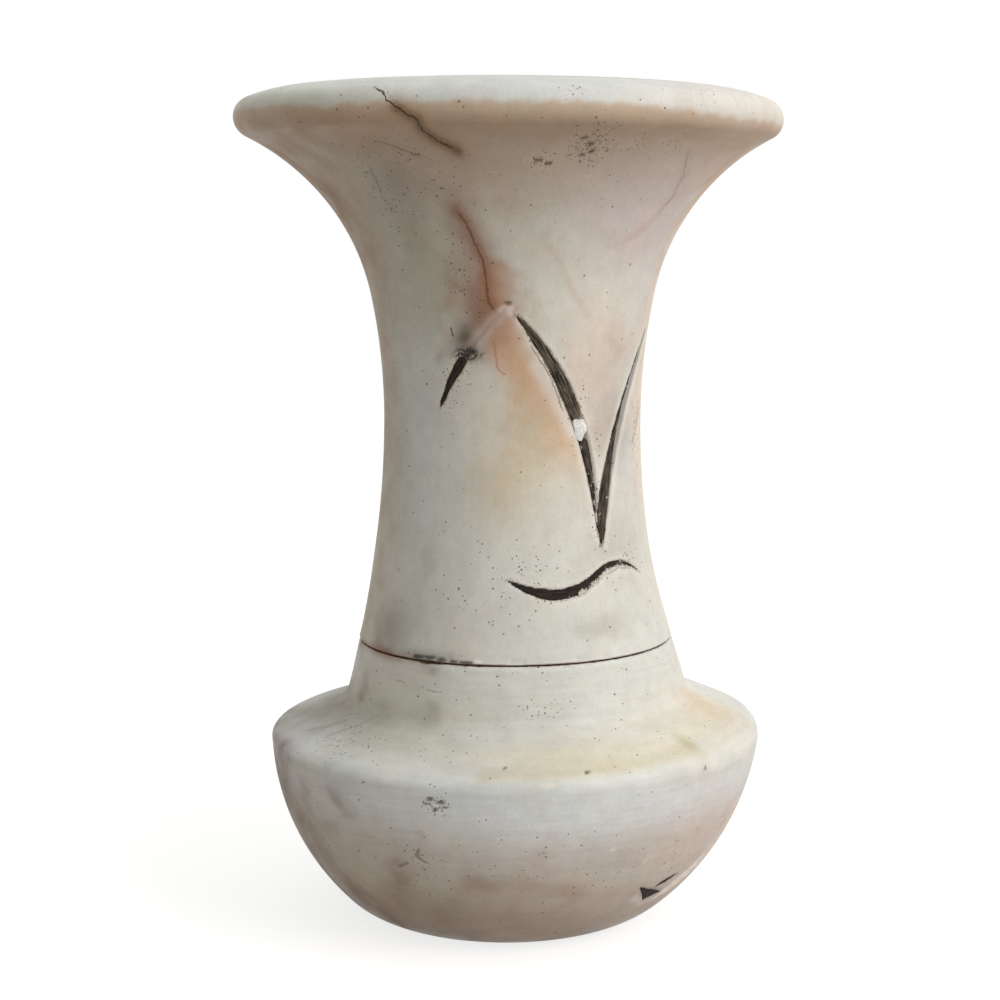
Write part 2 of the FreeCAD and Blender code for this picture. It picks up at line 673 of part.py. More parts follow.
def make_height_box(name, low, high):
    """A box wider than the neck between two heights, to part a filling in two."""
    box = doc.addObject("Part::Box", name)
    box.setExpression("Length", f"2 * {cell('bowl_radius')}")
    box.setExpression("Width", f"2 * {cell('bowl_radius')}")
    box.setExpression("Height", f"({high}) - ({low})")
    box.setExpression("Placement.Base.x", f"-{cell('bowl_radius')}")
    box.setExpression("Placement.Base.y", f"-{cell('bowl_radius')}")
    box.setExpression("Placement.Base.z", low)
    return box


def make_neck_and_fillings():
    """Cuts the strokes into the neck and lays the fillings in them. Each cut and filling share a tool."""
    blank = make_neck_blank()
    first = make_slim_stroke("first", "foot", "head", "rise", waist_height(), WAIST_HEIGHT)
    second = make_slim_stroke("second", "foot", "head", "rise", waist_height(), WAIST_HEIGHT)
    third = make_slim_stroke("third", "foot", "head", "rise", waist_height(), WAIST_HEIGHT)
    wave = make_wave_stroke()
    plug = make_plaster_plug()
    cut_band = make_neck_band(
        "neck_cut_band", f"-{cell('overrun')}", cell("groove_depth"), -size("overrun"), size("groove_depth")
    )
    fill_band = make_neck_band(
        "neck_fill_band",
        cell("filling_recess"),
        cell("groove_depth"),
        size("filling_recess"),
        size("groove_depth"),
    )
    tools = doc.addObject("Part::MultiFuse", "neck_stroke_tools")
    tools.Shapes = [first, second, third, wave, plug]
    grooves = boolean("Common", "neck_grooves", tools, cut_band)
    neck = boolean("Cut", "neck", blank, grooves)
    pieces = [neck]
    # The first stroke has lost its filling above the break
    break_height = f"{WAIST_HEIGHT} + {cell('first_break_rise')}"
    below_break = make_height_box("below_break", SEAM_FACE, break_height)
    first_left = boolean("Common", "first_left", first, below_break)
    pieces.append(boolean("Common", "zigzag_left_inlay", first_left, fill_band))
    pieces.append(boolean("Common", "zigzag_right_inlay", third, fill_band))
    # The plug parts the second stroke's filling, which ends at the third stroke's left edge
    beyond = make_slim_stroke(
        "third",
        "foot",
        "head",
        "rise",
        waist_height(),
        WAIST_HEIGHT,
        name="third_and_beyond",
        spare=size("third_head_rise"),
        spare_cell=cell("third_head_rise"),
    )
    others = doc.addObject("Part::MultiFuse", "plug_and_beyond")
    others.Shapes = [plug, beyond]
    second_rest = boolean("Cut", "second_rest", second, others)
    second_filling = boolean("Common", "second_filling", second_rest, fill_band)
    plug_height = f"{WAIST_HEIGHT} + {cell('plaster_rise')}"
    band_top = f"{WAIST_HEIGHT} + {cell('upper_flare_radius')}"
    above_plug = make_height_box("above_plug", plug_height, band_top)
    below_plug = make_height_box("below_plug", SEAM_FACE, plug_height)
    pieces.append(boolean("Common", "zigzag_middle_upper_inlay", second_filling, above_plug))
    pieces.append(boolean("Common", "zigzag_middle_lower_inlay", second_filling, below_plug))
    pieces.append(boolean("Common", "wave_inlay", wave, fill_band))
    # The plaster is flush with the stone
    plug_in_band = boolean("Common", "plug_in_band", plug, cut_band)
    pieces.append(boolean("Common", "plaster_patch", plug_in_band, blank))
    return pieces


def make_bowl_and_filling():
    blank = make_bowl_blank()
    stroke = make_slim_stroke("bowl_stroke", "left", "right", "height", 0, "0")
    cut_band = make_bowl_band(
        "bowl_cut_band", f"-{cell('overrun')}", cell("groove_depth"), -size("overrun"), size("groove_depth")
    )
    fill_band = make_bowl_band(
        "bowl_fill_band",
        cell("filling_recess"),
        cell("groove_depth"),
        size("filling_recess"),
        size("groove_depth"),
    )
    groove = boolean("Common", "bowl_groove", stroke, cut_band)
    bowl = boolean("Cut", "bowl", blank, groove)
    inlay = boolean("Common", "bowl_stroke_inlay", stroke, fill_band)
    return [bowl, inlay]


sub_parts = make_neck_and_fillings() + make_bowl_and_filling() + [make_seam_cement()]
doc.recompute()

for item in doc.Objects:
    assert "Invalid" not in item.State and "Error" not in item.State, f"{item.Name}: {item.State}"
for piece in sub_parts:
    assert not piece.Shape.isNull() and piece.Shape.isValid(), piece.Label
    assert piece.Shape.Volume > 0, piece.Label

os.makedirs("parts", exist_ok=True)
for piece in sub_parts:
    piece.Shape.exportStep(f"parts/{piece.Label}.step")
    print(piece.Label, len(piece.Shape.Solids), "solid", round(piece.Shape.Volume), "mm3")
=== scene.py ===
import cmath
import math
import bpy
import numpy as np
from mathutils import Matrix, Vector


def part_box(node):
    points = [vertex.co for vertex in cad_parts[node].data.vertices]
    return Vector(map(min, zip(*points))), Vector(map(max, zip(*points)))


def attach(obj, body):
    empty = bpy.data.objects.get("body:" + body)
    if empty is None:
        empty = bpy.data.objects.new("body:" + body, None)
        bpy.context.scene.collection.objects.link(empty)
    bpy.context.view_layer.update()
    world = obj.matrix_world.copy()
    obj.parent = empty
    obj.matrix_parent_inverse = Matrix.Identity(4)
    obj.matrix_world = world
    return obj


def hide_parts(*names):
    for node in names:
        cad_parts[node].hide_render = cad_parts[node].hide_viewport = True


# The looks of a carved alabaster vase: worn stone with rust stains, hairline cracks and specks,
# a zigzag, a wave and a low stroke cut by hand and filled with flaking black, and a cement seam.
# Lengths are in metres and angles in degrees. Azimuth 0 is the front, and it grows to the right.

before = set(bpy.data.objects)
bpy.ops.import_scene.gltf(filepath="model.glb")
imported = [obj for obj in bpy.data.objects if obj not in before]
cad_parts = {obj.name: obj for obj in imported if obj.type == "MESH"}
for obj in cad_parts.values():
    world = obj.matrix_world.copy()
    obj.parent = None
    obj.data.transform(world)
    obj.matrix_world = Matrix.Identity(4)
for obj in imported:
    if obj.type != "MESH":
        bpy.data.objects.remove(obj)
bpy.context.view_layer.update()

MM = 0.001
SEED = 7

# Places read from the fixed frame
neck_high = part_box("neck")[1]
bowl_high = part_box("bowl")[1]
cement_low, cement_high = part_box("seam_cement")
SEAM_HEIGHT = bowl_high.z
SEAM_FACE = cement_high.z
SOCKET_FLOOR = cement_low.z
NECK_FOOT = SOCKET_FLOOR + (SEAM_FACE - SEAM_HEIGHT)
VASE_HEIGHT = neck_high.z
BOWL_RADIUS = bowl_high.x

# Sizes of the two turned stones
SEAM_RADIUS = 46.8 * MM
WAIST_RADIUS = 37.9 * MM
WAIST_HEIGHT = SEAM_HEIGHT + 65.8 * MM
UPPER_FLARE_RADIUS = 175.6 * MM
UPPER_FLARE_ANGLE = 12.1
UNDER_LIP_RADIUS = 65 * MM
UNDER_LIP_ANGLE = 51.3
LIP_EDGE_RADIUS = 5.7 * MM
LIP_EDGE_ANGLE = 131.1
LIP_CROWN_RADIUS = 40 * MM
BORE_RADIUS = 29 * MM
MOUTH_EDGE_RADIUS = 5 * MM
MOUTH_FLARE_ANGLE = 54.0
SPIGOT_RADIUS = 38 * MM
SOCKET_RADIUS = SPIGOT_RADIUS + 0.6 * MM
CEMENT_LEDGE = 3 * MM
SEAM_RECESS = 0.7 * MM
COLLAR_ANGLE = 14.7
COLLAR_ROUND_RADIUS = 7 * MM
SHOULDER_ANGLE = 21.5
BOWL_EDGE_RADIUS = 4.5 * MM
BELLY_RADIUS = BOWL_RADIUS + 0.3 * MM
HEEL_ANGLE = 47.4
HEEL_RADIUS = 25.1 * MM
BOWL_WALL = 12 * MM
CAVITY_DROP = 10 * MM
CAVITY_EDGE_RADIUS = 8 * MM
CAVITY_HEEL_RADIUS = 10 * MM
THROAT_ROUND_RADIUS = 8 * MM
FLOOR_THICKNESS = 14 * MM
WORN_EDGE = 0.35 * MM
BELLY_MIDDLE = HEEL_RADIUS + (BELLY_RADIUS - HEEL_RADIUS) * math.sin(math.radians(HEEL_ANGLE))

# Steps along the outlines
FINE_STEP = 0.6 * MM
MIDDLE_STEP = 1.2 * MM
COARSE_STEP = 3 * MM
BORE_STEP = 6 * MM


def srgb(red, green, blue):
    """A colour as it looks on a screen, from 0 to 255, as linear light."""
    shares = (red / 255, green / 255, blue / 255)
    return tuple(share / 12.92 if share <= 0.04045 else ((share + 0.055) / 1.055) ** 2.4 for share in shares)


def cloud(points, size, seed):
    """Smooth noise from about -1 to 1 with humps of a size in mm: a sum of seeded waves."""
    waves = 14
    rng = np.random.default_rng(SEED + seed)
    ways = rng.normal(size=(waves, 3))
    ways /= np.linalg.norm(ways, axis=1)[:, None]
    pace = rng.uniform(0.6, 1.6, waves) * math.pi / (size * MM)
    phase = rng.uniform(0, 2 * math.pi, waves)
    total = np.sin(points @ (ways * pace[:, None]).T + phase).sum(axis=1)
    return total / math.sqrt(waves) * 0.9


def ease(low, high, value):
    """A smooth step from 0 to 1 as a value goes from low to high."""
    share = np.clip((value - low) / (high - low), 0, 1)
    return share * share * (3 - 2 * share)


def tangent(angle):
    return math.tan(math.radians(angle))


def polar(length, angle):
    return cmath.rect(length, math.radians(angle))


class Pen:
    """Draws an outline of lines and tangent arcs. A spot is a complex number, radius + height * 1j."""

    def __init__(self, radius, height, heading=0.0):
        self.spots = [complex(radius, height)]
        self.heading = heading

    def lines(self, step, *corners):
        for corner in corners:
            start = self.spots[-1]
            way = complex(*corner) - start
            count = max(1, math.ceil(abs(way) / step))
            self.spots += [start + way * (number / count) for number in range(1, count + 1)]
            self.heading = math.degrees(cmath.phase(way))

    def ahead(self, length, step):
        end = self.spots[-1] + polar(length, self.heading)
        self.lines(step, (end.real, end.imag))

    def turn(self, radius, angle, step):
        """An arc that turns left by a positive angle and right by a negative one."""
        side = math.copysign(90.0, angle)
        middle = self.spots[-1] + polar(radius, self.heading + side)
        first = self.heading - side
        count = max(2, math.ceil(radius * math.radians(abs(angle)) / step))
        angles = [first + angle * number / count for number in range(1, count + 1)]
        self.spots += [middle + polar(radius, angle) for angle in angles]
        self.heading += angle

    def outline(self):
        return np.array([(spot.real, spot.imag) for spot in self.spots])


def neck_outline():
    """The neck's rows from the seam up, over the lip and down the bore, and how many are outside."""
    out = SEAM_RADIUS - WAIST_RADIUS
    drop = WAIST_HEIGHT - SEAM_FACE
    flare_radius = (out ** 2 + drop ** 2) / (2 * out)
    flare_angle = 2 * math.degrees(math.atan(out / drop))
    pen = Pen(SEAM_RADIUS, SEAM_FACE, 90 + flare_angle)
    pen.turn(flare_radius, -flare_angle, FINE_STEP)
    pen.turn(UPPER_FLARE_RADIUS, -UPPER_FLARE_ANGLE, FINE_STEP)
    pen.turn(UNDER_LIP_RADIUS, -UNDER_LIP_ANGLE, MIDDLE_STEP)
    pen.turn(LIP_EDGE_RADIUS, LIP_EDGE_ANGLE, FINE_STEP)
    outside = len(pen.spots)
    pen.turn(LIP_CROWN_RADIUS, 180 - pen.heading, MIDDLE_STEP)
    pen.turn(MOUTH_EDGE_RADIUS, 90 - MOUTH_FLARE_ANGLE, MIDDLE_STEP)
    mouth_radius = (pen.spots[-1].real - BORE_RADIUS) / (1 - math.cos(math.radians(MOUTH_FLARE_ANGLE)))
    pen.turn(mouth_radius, MOUTH_FLARE_ANGLE, COARSE_STEP)
    pen.lines(BORE_STEP, (BORE_RADIUS, NECK_FOOT))
    pen.lines(COARSE_STEP, (SPIGOT_RADIUS, NECK_FOOT), (SPIGOT_RADIUS, SEAM_FACE))
    pen.lines(COARSE_STEP, (SEAM_RADIUS - WORN_EDGE, SEAM_FACE))
    rows = pen.outline()
    rows[0] = (SEAM_RADIUS - 0.1 * WORN_EDGE, SEAM_FACE + WORN_EDGE)
    return rows, outside


def bowl_outline():
    """The bowl's rows from the foot's middle up and down the inside, and how many are outside."""
    across = BOWL_RADIUS - BOWL_EDGE_RADIUS
    reach = BELLY_RADIUS - BOWL_EDGE_RADIUS
    lean = math.degrees(math.acos(across / reach))
    pen = Pen(0, 0)
    pen.lines(COARSE_STEP, (polar(BELLY_RADIUS - HEEL_RADIUS, HEEL_ANGLE).real, 0))
    pen.turn(HEEL_RADIUS, 90 - HEEL_ANGLE, MIDDLE_STEP)
    pen.turn(BELLY_RADIUS, HEEL_ANGLE - lean, FINE_STEP)
    pen.turn(BOWL_EDGE_RADIUS, lean + 90 - SHOULDER_ANGLE, FINE_STEP)
    # The shoulder runs towards the corner where it meets the collar, and a round joins the two
    seam = complex(SEAM_RADIUS, SEAM_HEIGHT)
    bend = 90 - SHOULDER_ANGLE - COLLAR_ANGLE
    beside_collar = ((seam - pen.spots[-1]) * polar(1, -90 - COLLAR_ANGLE)).imag
    to_corner = beside_collar / math.sin(math.radians(bend))
    pen.ahead(to_corner - COLLAR_ROUND_RADIUS * tangent(bend / 2), MIDDLE_STEP)
    pen.turn(COLLAR_ROUND_RADIUS, -bend, FINE_STEP)
    pen.ahead(abs(seam - pen.spots[-1]) - WORN_EDGE, MIDDLE_STEP)
    outside = len(pen.spots)
    pen.lines(WORN_EDGE, (SEAM_RADIUS - WORN_EDGE, SEAM_HEIGHT))
    pen.lines(COARSE_STEP, (SOCKET_RADIUS, SEAM_HEIGHT), (SOCKET_RADIUS, SOCKET_FLOOR))
    # The hollow has a sloping roof, a belly and a flat floor
    wall = BELLY_RADIUS - BOWL_WALL
    edge_height = BELLY_MIDDLE - math.sqrt(reach ** 2 - across ** 2) - CAVITY_DROP
    edge_reach = wall - CAVITY_EDGE_RADIUS
    high = math.degrees(math.asin((BELLY_MIDDLE - edge_height) / edge_reach))
    heel_drop = BELLY_MIDDLE - FLOOR_THICKNESS - CAVITY_HEEL_RADIUS
    low = math.degrees(math.asin(heel_drop / (wall - CAVITY_HEEL_RADIUS)))
    roof_bend = 90 - SHOULDER_ANGLE
    roof_end = complex(polar(edge_reach, high).real, edge_height) + polar(CAVITY_EDGE_RADIUS, roof_bend)
    corner_height = roof_end.imag + (roof_end.real - BORE_RADIUS) * tangent(SHOULDER_ANGLE)
    throat_foot = corner_height + THROAT_ROUND_RADIUS * tangent(roof_bend / 2)
    pen.lines(COARSE_STEP, (BORE_RADIUS, SOCKET_FLOOR), (BORE_RADIUS, throat_foot))
    pen.turn(THROAT_ROUND_RADIUS, roof_bend, MIDDLE_STEP)
    pen.lines(COARSE_STEP, (roof_end.real, roof_end.imag))
    pen.turn(CAVITY_EDGE_RADIUS, -(roof_bend + high), MIDDLE_STEP)
    pen.turn(wall, high - low, COARSE_STEP)
    pen.turn(CAVITY_HEEL_RADIUS, low - 90, MIDDLE_STEP)
    pen.lines(COARSE_STEP, (0, FLOOR_THICKNESS))
    return pen.outline(), outside


# The hand of the carver: how far the axis strays sideways at a height, and how level rows tilt
STRAY_HEIGHTS = np.array([0, 12, 29, 40, 50, 58, 69, 80, 97, 109, 183, 211, 243]) * MM
STRAY_WAYS = np.array([-2.2, -1.2, -0.3, 0.3, 0.9, 1.2, 1.6, 1.2, 0.6, 0.15, 0, -0.3, -1.4]) * MM
STRAY_BLEND = 5 * MM
TILT_HEIGHTS = np.array([54, 58, 62, 66, 70, 83, 100]) * MM
TILT_ANGLES = (0, 1.0, 1.5, 1.5, 1.2, 0.5, 0)
RIM_TILT = 0.26
RIM_NOD = -0.16
SWELL = 0.12 * MM


def warp(points):
    """Moves points of every piece alike, so that the vase leans and waves as carved by hand."""
    x, y, height = points.T
    shifts = np.linspace(-STRAY_BLEND, STRAY_BLEND, 7)
    stray = np.mean([np.interp(height + shift, STRAY_HEIGHTS, STRAY_WAYS) for shift in shifts], axis=0)
    raised = height + x * np.tan(np.radians(np.interp(height, TILT_HEIGHTS, TILT_ANGLES)))
    raised -= (x * tangent(RIM_TILT) + y * tangent(RIM_NOD)) * ease(WAIST_HEIGHT, VASE_HEIGHT, height)
    radius = np.hypot(x, y)
    swell = cloud(points, 45, 1) * SWELL * ease(0.4 * WAIST_RADIUS, WAIST_RADIUS, radius)
    grown = 1 + swell / np.maximum(radius, MM)
    return np.stack([x * grown + stray, y * grown, np.where(height < MM, height, raised)], axis=-1)


def at(azimuth, radius, height):
    """Points from azimuths in degrees, radii and heights."""
    turned = np.radians(azimuth)
    return np.stack([radius * np.sin(turned), -radius * np.cos(turned), height + 0 * turned], axis=-1)


def columns(*stretches):
    """Azimuths once round: stretches of (from, to, step), and the rest in coarse steps."""
    low, high, coarse_step = stretches[0][0] + 360, stretches[-1][1], 3.0
    rest = np.linspace(high, low, round((low - high) / coarse_step) + 1)[:-1]
    return np.concatenate([np.arange(*stretch) for stretch in stretches] + [rest])


def turned_faces(counts):
    """Faces between neighbouring rows of points, which join up in a ring or end in a point on the axis."""
    faces = []
    rows = [(sum(counts[:row]), count) for row, count in enumerate(counts)]
    for (low, low_count), (high, high_count) in zip(rows, rows[1:] + rows[:counts[0] > 1]):
        for column in range(max(counts)):
            lower = (low + column % low_count, low + (column + 1) % low_count)
            upper = (high + (column + 1) % high_count, high + column % high_count)
            faces.append(tuple(dict.fromkeys(lower + upper)))
    return faces


def add_object(name, data):
    added = bpy.data.objects.new(name, data)
    bpy.context.scene.collection.objects.link(added)
    return added


def new_piece(name, points, faces, node, slot, material, sharp_angle=60.0):
    """A mesh piece that stands for a node of the frame."""
    mesh = bpy.data.meshes.new(name)
    mesh.from_pydata(points.tolist(), [], faces)
    mesh.polygons.foreach_set("use_smooth", [True] * len(mesh.polygons))
    mesh.set_sharp_from_angle(angle=math.radians(sharp_angle))
    mesh.materials.append(material)
    mesh.update()
    piece = add_object(name, mesh)
    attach(piece, "root")
    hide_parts(node)
    return piece


def keep(piece, **attributes):
    """Keeps a number or a colour for each point."""
    for name, values in attributes.items():
        kind, key = ("FLOAT", "value") if values.ndim == 1 else ("FLOAT_COLOR", "color")
        if values.ndim == 2:
            values = np.insert(values, 3, 1, axis=1)
        attribute = piece.data.attributes.new(name, kind, "POINT")
        attribute.data.foreach_set(key, values.astype(np.float32).ravel())


# Turned pieces and the marks on them

PALE = (212, 213, 207)
LINE_REACH = 1.5 * MM
SPECKS_EVERYWHERE = 0.006


class Turned:
    """A turned piece: the place, colour, carved depth and rubbed-in black of each of its points."""

    def __init__(self, rows, outside, azimuths):
        rising = np.concatenate([[True], np.diff(np.maximum.accumulate(rows[:outside, 1])) > 0])
        self.profile = rows[:outside][rising]
        counts = [1 if radius < 1e-9 else len(azimuths) for radius in rows[:, 0]]
        self.azimuth = np.concatenate([azimuths[:count] for count in counts])
        self.radius, self.height = np.repeat(rows, counts, axis=0).T
        self.turn = (self.azimuth + 180) % 360 - 180
        self.faces = turned_faces(counts)
        self.outer = np.arange(len(self.azimuth)) < sum(counts[:outside])
        self.points = at(self.azimuth, self.radius, self.height)
        self.colours = np.tile(srgb(*PALE), (len(self.points), 1))
        self.depth = np.zeros(len(self.points))
        self.soot = np.zeros(len(self.points))

    def radius_at(self, height):
        """Radius of the outside at a height."""
        return np.interp(height, self.profile[:, 1], self.profile[:, 0])

    def across(self, azimuth):
        """Distance to the right from an azimuth."""
        return np.radians((self.azimuth - azimuth + 180) % 360 - 180) * self.radius

    def reach(self, azimuth, height, across, up, lean=0):
        """Distance from the middle of a mark, where 1 is its half width or half height (mm)."""
        x = self.across(azimuth)
        y = self.height - height * MM
        way = math.radians(lean)
        u = (x * math.cos(way) + y * math.sin(way)) / (across * MM)
        v = (y * math.cos(way) - x * math.sin(way)) / (up * MM)
        return np.hypot(u, v)

    def near(self, *mark):
        """1 in the middle of a mark, falling off round it."""
        return np.exp(-self.reach(*mark) ** 2)

    def carve(self, depth):
        self.depth = np.maximum(self.depth, depth * self.outer)

    def rub(self, soot):
        self.soot = np.maximum(self.soot, soot * self.outer)

    def paint(self, colour, cover):
        self.colours += (srgb(*colour) - self.colours) * cover[:, None]

    def stain_light_and_shade(self, stains_light_and_shade, seed):
        """Soft stained patches and soft painted light and shade, with edges frayed by noise."""
        fray = cloud(self.points, 9, seed) * 0.35 + cloud(self.points, 3.5, seed + 1) * 0.18
        for *mark, colour, strength in stains_light_and_shade:
            self.paint(colour, strength * np.exp(-self.reach(*mark) ** 2 * np.maximum(1 + fray, 0.3) * 0.9))

    def chip(self, chips):
        """Small marks with crisp edges."""
        fray = cloud(self.points, 1.6, 70) * 0.25
        for colour, marks in chips:
            for mark in marks:
                self.paint(colour, 0.85 * ease(1.3, 0.7, self.reach(*mark) + fray))

    def line_offsets(self, line):
        """Signed distance to a line of (azimuth, height mm) points, and the share of the way along it."""
        signed = np.full(len(self.azimuth), 1.0)
        shares = np.zeros(len(self.azimuth))
        for number, ((a0, h0), (a1, h1)) in enumerate(zip(line, line[1:])):
            x1, y1 = math.radians(a1 - a0) * self.radius, (h1 - h0) * MM
            x, y = self.across(a0), self.height - h0 * MM
            share = np.clip((x * x1 + y * y1) / (x1 * x1 + y1 * y1), 0, 1)
            distance = np.hypot(x - share * x1, y - share * y1)
            nearer = distance < np.abs(signed)
            side = np.where(x * y1 - y * x1 >= 0, 1.0, -1.0)
            signed = np.where(nearer, distance * side, signed)
            shares = np.where(nearer, (number + share) / (len(line) - 1), shares)
        return signed, shares

    def vein(self, veins):
        """Soft lines."""
        for line, half_width, colour, strength in veins:
            offset = self.line_offsets(line)[0]
            self.paint(colour, strength * np.exp(-(offset / (half_width * MM)) ** 2))

    def keep_lines(self, piece, lines):
        """Keeps for each point the nearest fine line: its distance, half width, strength and colour."""
        best = np.full(len(self.azimuth), LINE_REACH)
        half = np.full(len(self.azimuth), 0.3)
        mask = np.zeros(len(self.azimuth))
        tone = np.zeros((len(self.azimuth), 3))
        for line, half_width, colour, strength in lines:
            offset, share = self.line_offsets(line)
            nearer = np.abs(offset) < np.abs(best)
            ends = ease(0, 0.06, share) * ease(1, 0.94, share)
            fading = ends * ease(LINE_REACH, 0.5 * LINE_REACH, np.abs(offset))
            best = np.where(nearer, offset, best)
            half = np.where(nearer, half_width, half)
            mask = np.where(nearer, strength * fading, mask)
            tone[nearer] = srgb(*colour)
        keep(piece, line_offset=best / MM, line_half=half, line_mask=mask * self.outer, line_tone=tone)

    def keep_specks(self, piece, places):
        """Keeps the share of the places that hold a speck."""
        total = np.full(len(self.azimuth), SPECKS_EVERYWHERE)
        for *mark, share in places:
            total = np.maximum(total, share * self.near(*mark))
        keep(piece, specks=total * self.outer)

    def make(self, name, *rest):
        points = warp(at(self.azimuth, self.radius - self.depth, self.height))
        return new_piece(name, points, self.faces, *rest)

    def make_stone(self, name, node, material, lines, specks):
        piece = self.make(name, node, "alabaster", material, 38.0)
        keep(piece, tone=self.colours, soot=self.soot)
        self.keep_lines(piece, lines)
        self.keep_specks(piece, specks)


# Cut strokes


class Stroke:
    """A cut stroke in an upright plane: a bowed line from foot to head, widest in the middle."""

    def __init__(self, azimuth, foot, head, width, base=0, bow=0, break_share=1):
        self.azimuth = azimuth
        self.foot = complex(*foot) * MM
        chord = complex(*head) * MM - self.foot
        self.length = abs(chord)
        self.along = chord / self.length
        self.bow = bow * MM
        self.half_width = width * MM / 2
        self.base = base
        self.break_share = break_share

    def sway(self, share):
        """How far the line lies to the left of its chord."""
        return -self.bow * np.clip(4 * share * (1 - share), 0, 1)

    def half_width_at(self, share):
        whole = self.half_width * np.clip(4 * share * (1 - share), 0, 1) ** 0.75
        return whole * (1 - 0.4 * ease(self.break_share, self.break_share + 0.08, share))

    def measure(self, stone, ragged, seed):
        """Share of the way, offset to the left, and depth inside the edge, which is ragged by some mm."""
        off = np.radians(stone.azimuth - self.azimuth)
        x = np.where(np.cos(off) > 0, stone.radius * np.sin(off), 10 * self.length)
        spot = (x + 1j * (stone.height - self.base) - self.foot) * self.along.conjugate()
        share = spot.real / self.length
        offset = spot.imag - self.sway(share)
        beyond = np.maximum(np.maximum(-share, share - 1), 0) * self.length
        margin = self.half_width_at(share) - np.abs(offset) + cloud(stone.points, 2.5, seed) * ragged * MM
        return share, offset, np.where(beyond > 0, -np.hypot(beyond, offset), margin)

    def place(self, share, offset, stone):
        """Azimuth and height of a place given by its share of the way and its offset."""
        spot = self.foot + (share * self.length + 1j * (offset + self.sway(share))) * self.along
        height = self.base + spot.imag
        lean = np.clip(spot.real / stone.radius_at(height), -1, 1)
        return self.azimuth + np.degrees(np.arcsin(lean)), height


class Wave(Stroke):
    """A trough and then a crest about the chord."""

    trough = 3.9 * MM
    crest = 3.3 * MM
    turn_share = 0.56

    def sway(self, share):
        first = np.clip(share / self.turn_share, 0, 1)
        second = np.clip((share - self.turn_share) / (1 - self.turn_share), 0, 1)
        return self.crest * 4 * second * (1 - second) - self.trough * 4 * first * (1 - first)

    def half_width_at(self, share):
        return self.half_width * np.clip(6 * share * np.clip(1 - share, 0, 1) ** 1.3, 0, 1) ** 0.8


class Wedge(Stroke):
    """A stroke that is blunt at its foot and tapers to its head."""

    def half_width_at(self, share):
        blunt = np.clip(share / 0.2, 0, 1) ** 0.5
        return self.half_width * blunt * np.clip(1.15 * (1 - share), 0, 1) ** 0.25


class Tooth(Stroke):
    """A stroke with one straight edge along its chord and a pointed tooth on the right of it."""

    tip_share = 0.58

    def sway(self, share):
        return -self.half_width_at(share)

    def half_width_at(self, share):
        rise = np.clip(share / self.tip_share, 0, 1)
        fall = np.clip((1 - share) / (1 - self.tip_share), 0, 1)
        return self.half_width * np.minimum(rise, fall)


LEFT_BREAK_SHARE = 0.465
PLASTER_SHARE = 0.45
PLASTER_HALF_SHARE = 0.035
ZIGZAG_LEFT = Stroke(-17, (-10.4, 5.2), (10.4, 33.4), 2.8, WAIST_HEIGHT, -2.1, LEFT_BREAK_SHARE)
ZIGZAG_MIDDLE = Stroke(22, (10.6, -32.0), (-15.3, 32.3), 4.0, WAIST_HEIGHT, 6.8)
ZIGZAG_RIGHT = Wedge(56, (-12.0, -34.5), (13.8, 27.0), 4.3, WAIST_HEIGHT, -4.2)
WAVE = Wave(30, (-22.6, -42.2), (22.0, -43.4), 3.0, WAIST_HEIGHT)
BOWL_WEDGE = Tooth(42, (-5.9, 20.6), (6.6, 15.9), 3.6)
BOWL_TICK = Stroke(46, (-3.5, 18.8), (4.8, 21.4), 1.4)
BOWL_SCRAPE = Stroke(56, (-8.5, 13.2), (19.5, 28.7), 6.4)
GROOVE_DEPTH = 1.1 * MM
SCRAPE_DEPTH = 0.5 * MM
BOWL_SCRAPE_DEPTH = 1.7 * MM
GROOVE_RAMP = 0.7 * MM
BOWL_SCRAPE_RAMP = 1.6 * MM
FILLING_DEPTH = 0.9 * MM
FILLING_RECESS = 0.12 * MM
# Where the fillings narrow: shares of the way, and shares of the width
WHOLE = ((0.0, 1.0), (1.0, 1.0))
RIGHT_WIDTHS = ((0.0, 0.3, 0.6, 1.0), (1.0, 0.82, 0.38, 0.28))
LOW_WIDTHS = ((0.0, 0.2, 0.45), (0.2, 0.4, 0.75))

# Colours, as they look on a screen
CREAM = (222, 211, 180)
LAVENDER = (206, 196, 200)
TAN = (190, 164, 134)
RUST = (150, 96, 66)
ORANGE = (204, 162, 116)
SMUDGE = (84, 66, 52)
BLACK = (34, 30, 28)
GREEN_GREY = (180, 183, 166)
GREY_BROWN = (112, 98, 84)
CHALK = (232, 228, 220)
UNDER_LIP_SHADE = (184, 152, 114)
CROWN_BROWN = (150, 130, 112)
WORN = (206, 194, 190)
WORN_GREY = (200, 196, 192)
RUBBED_GREY = (138, 134, 132)
SCRAPED = (216, 208, 202)
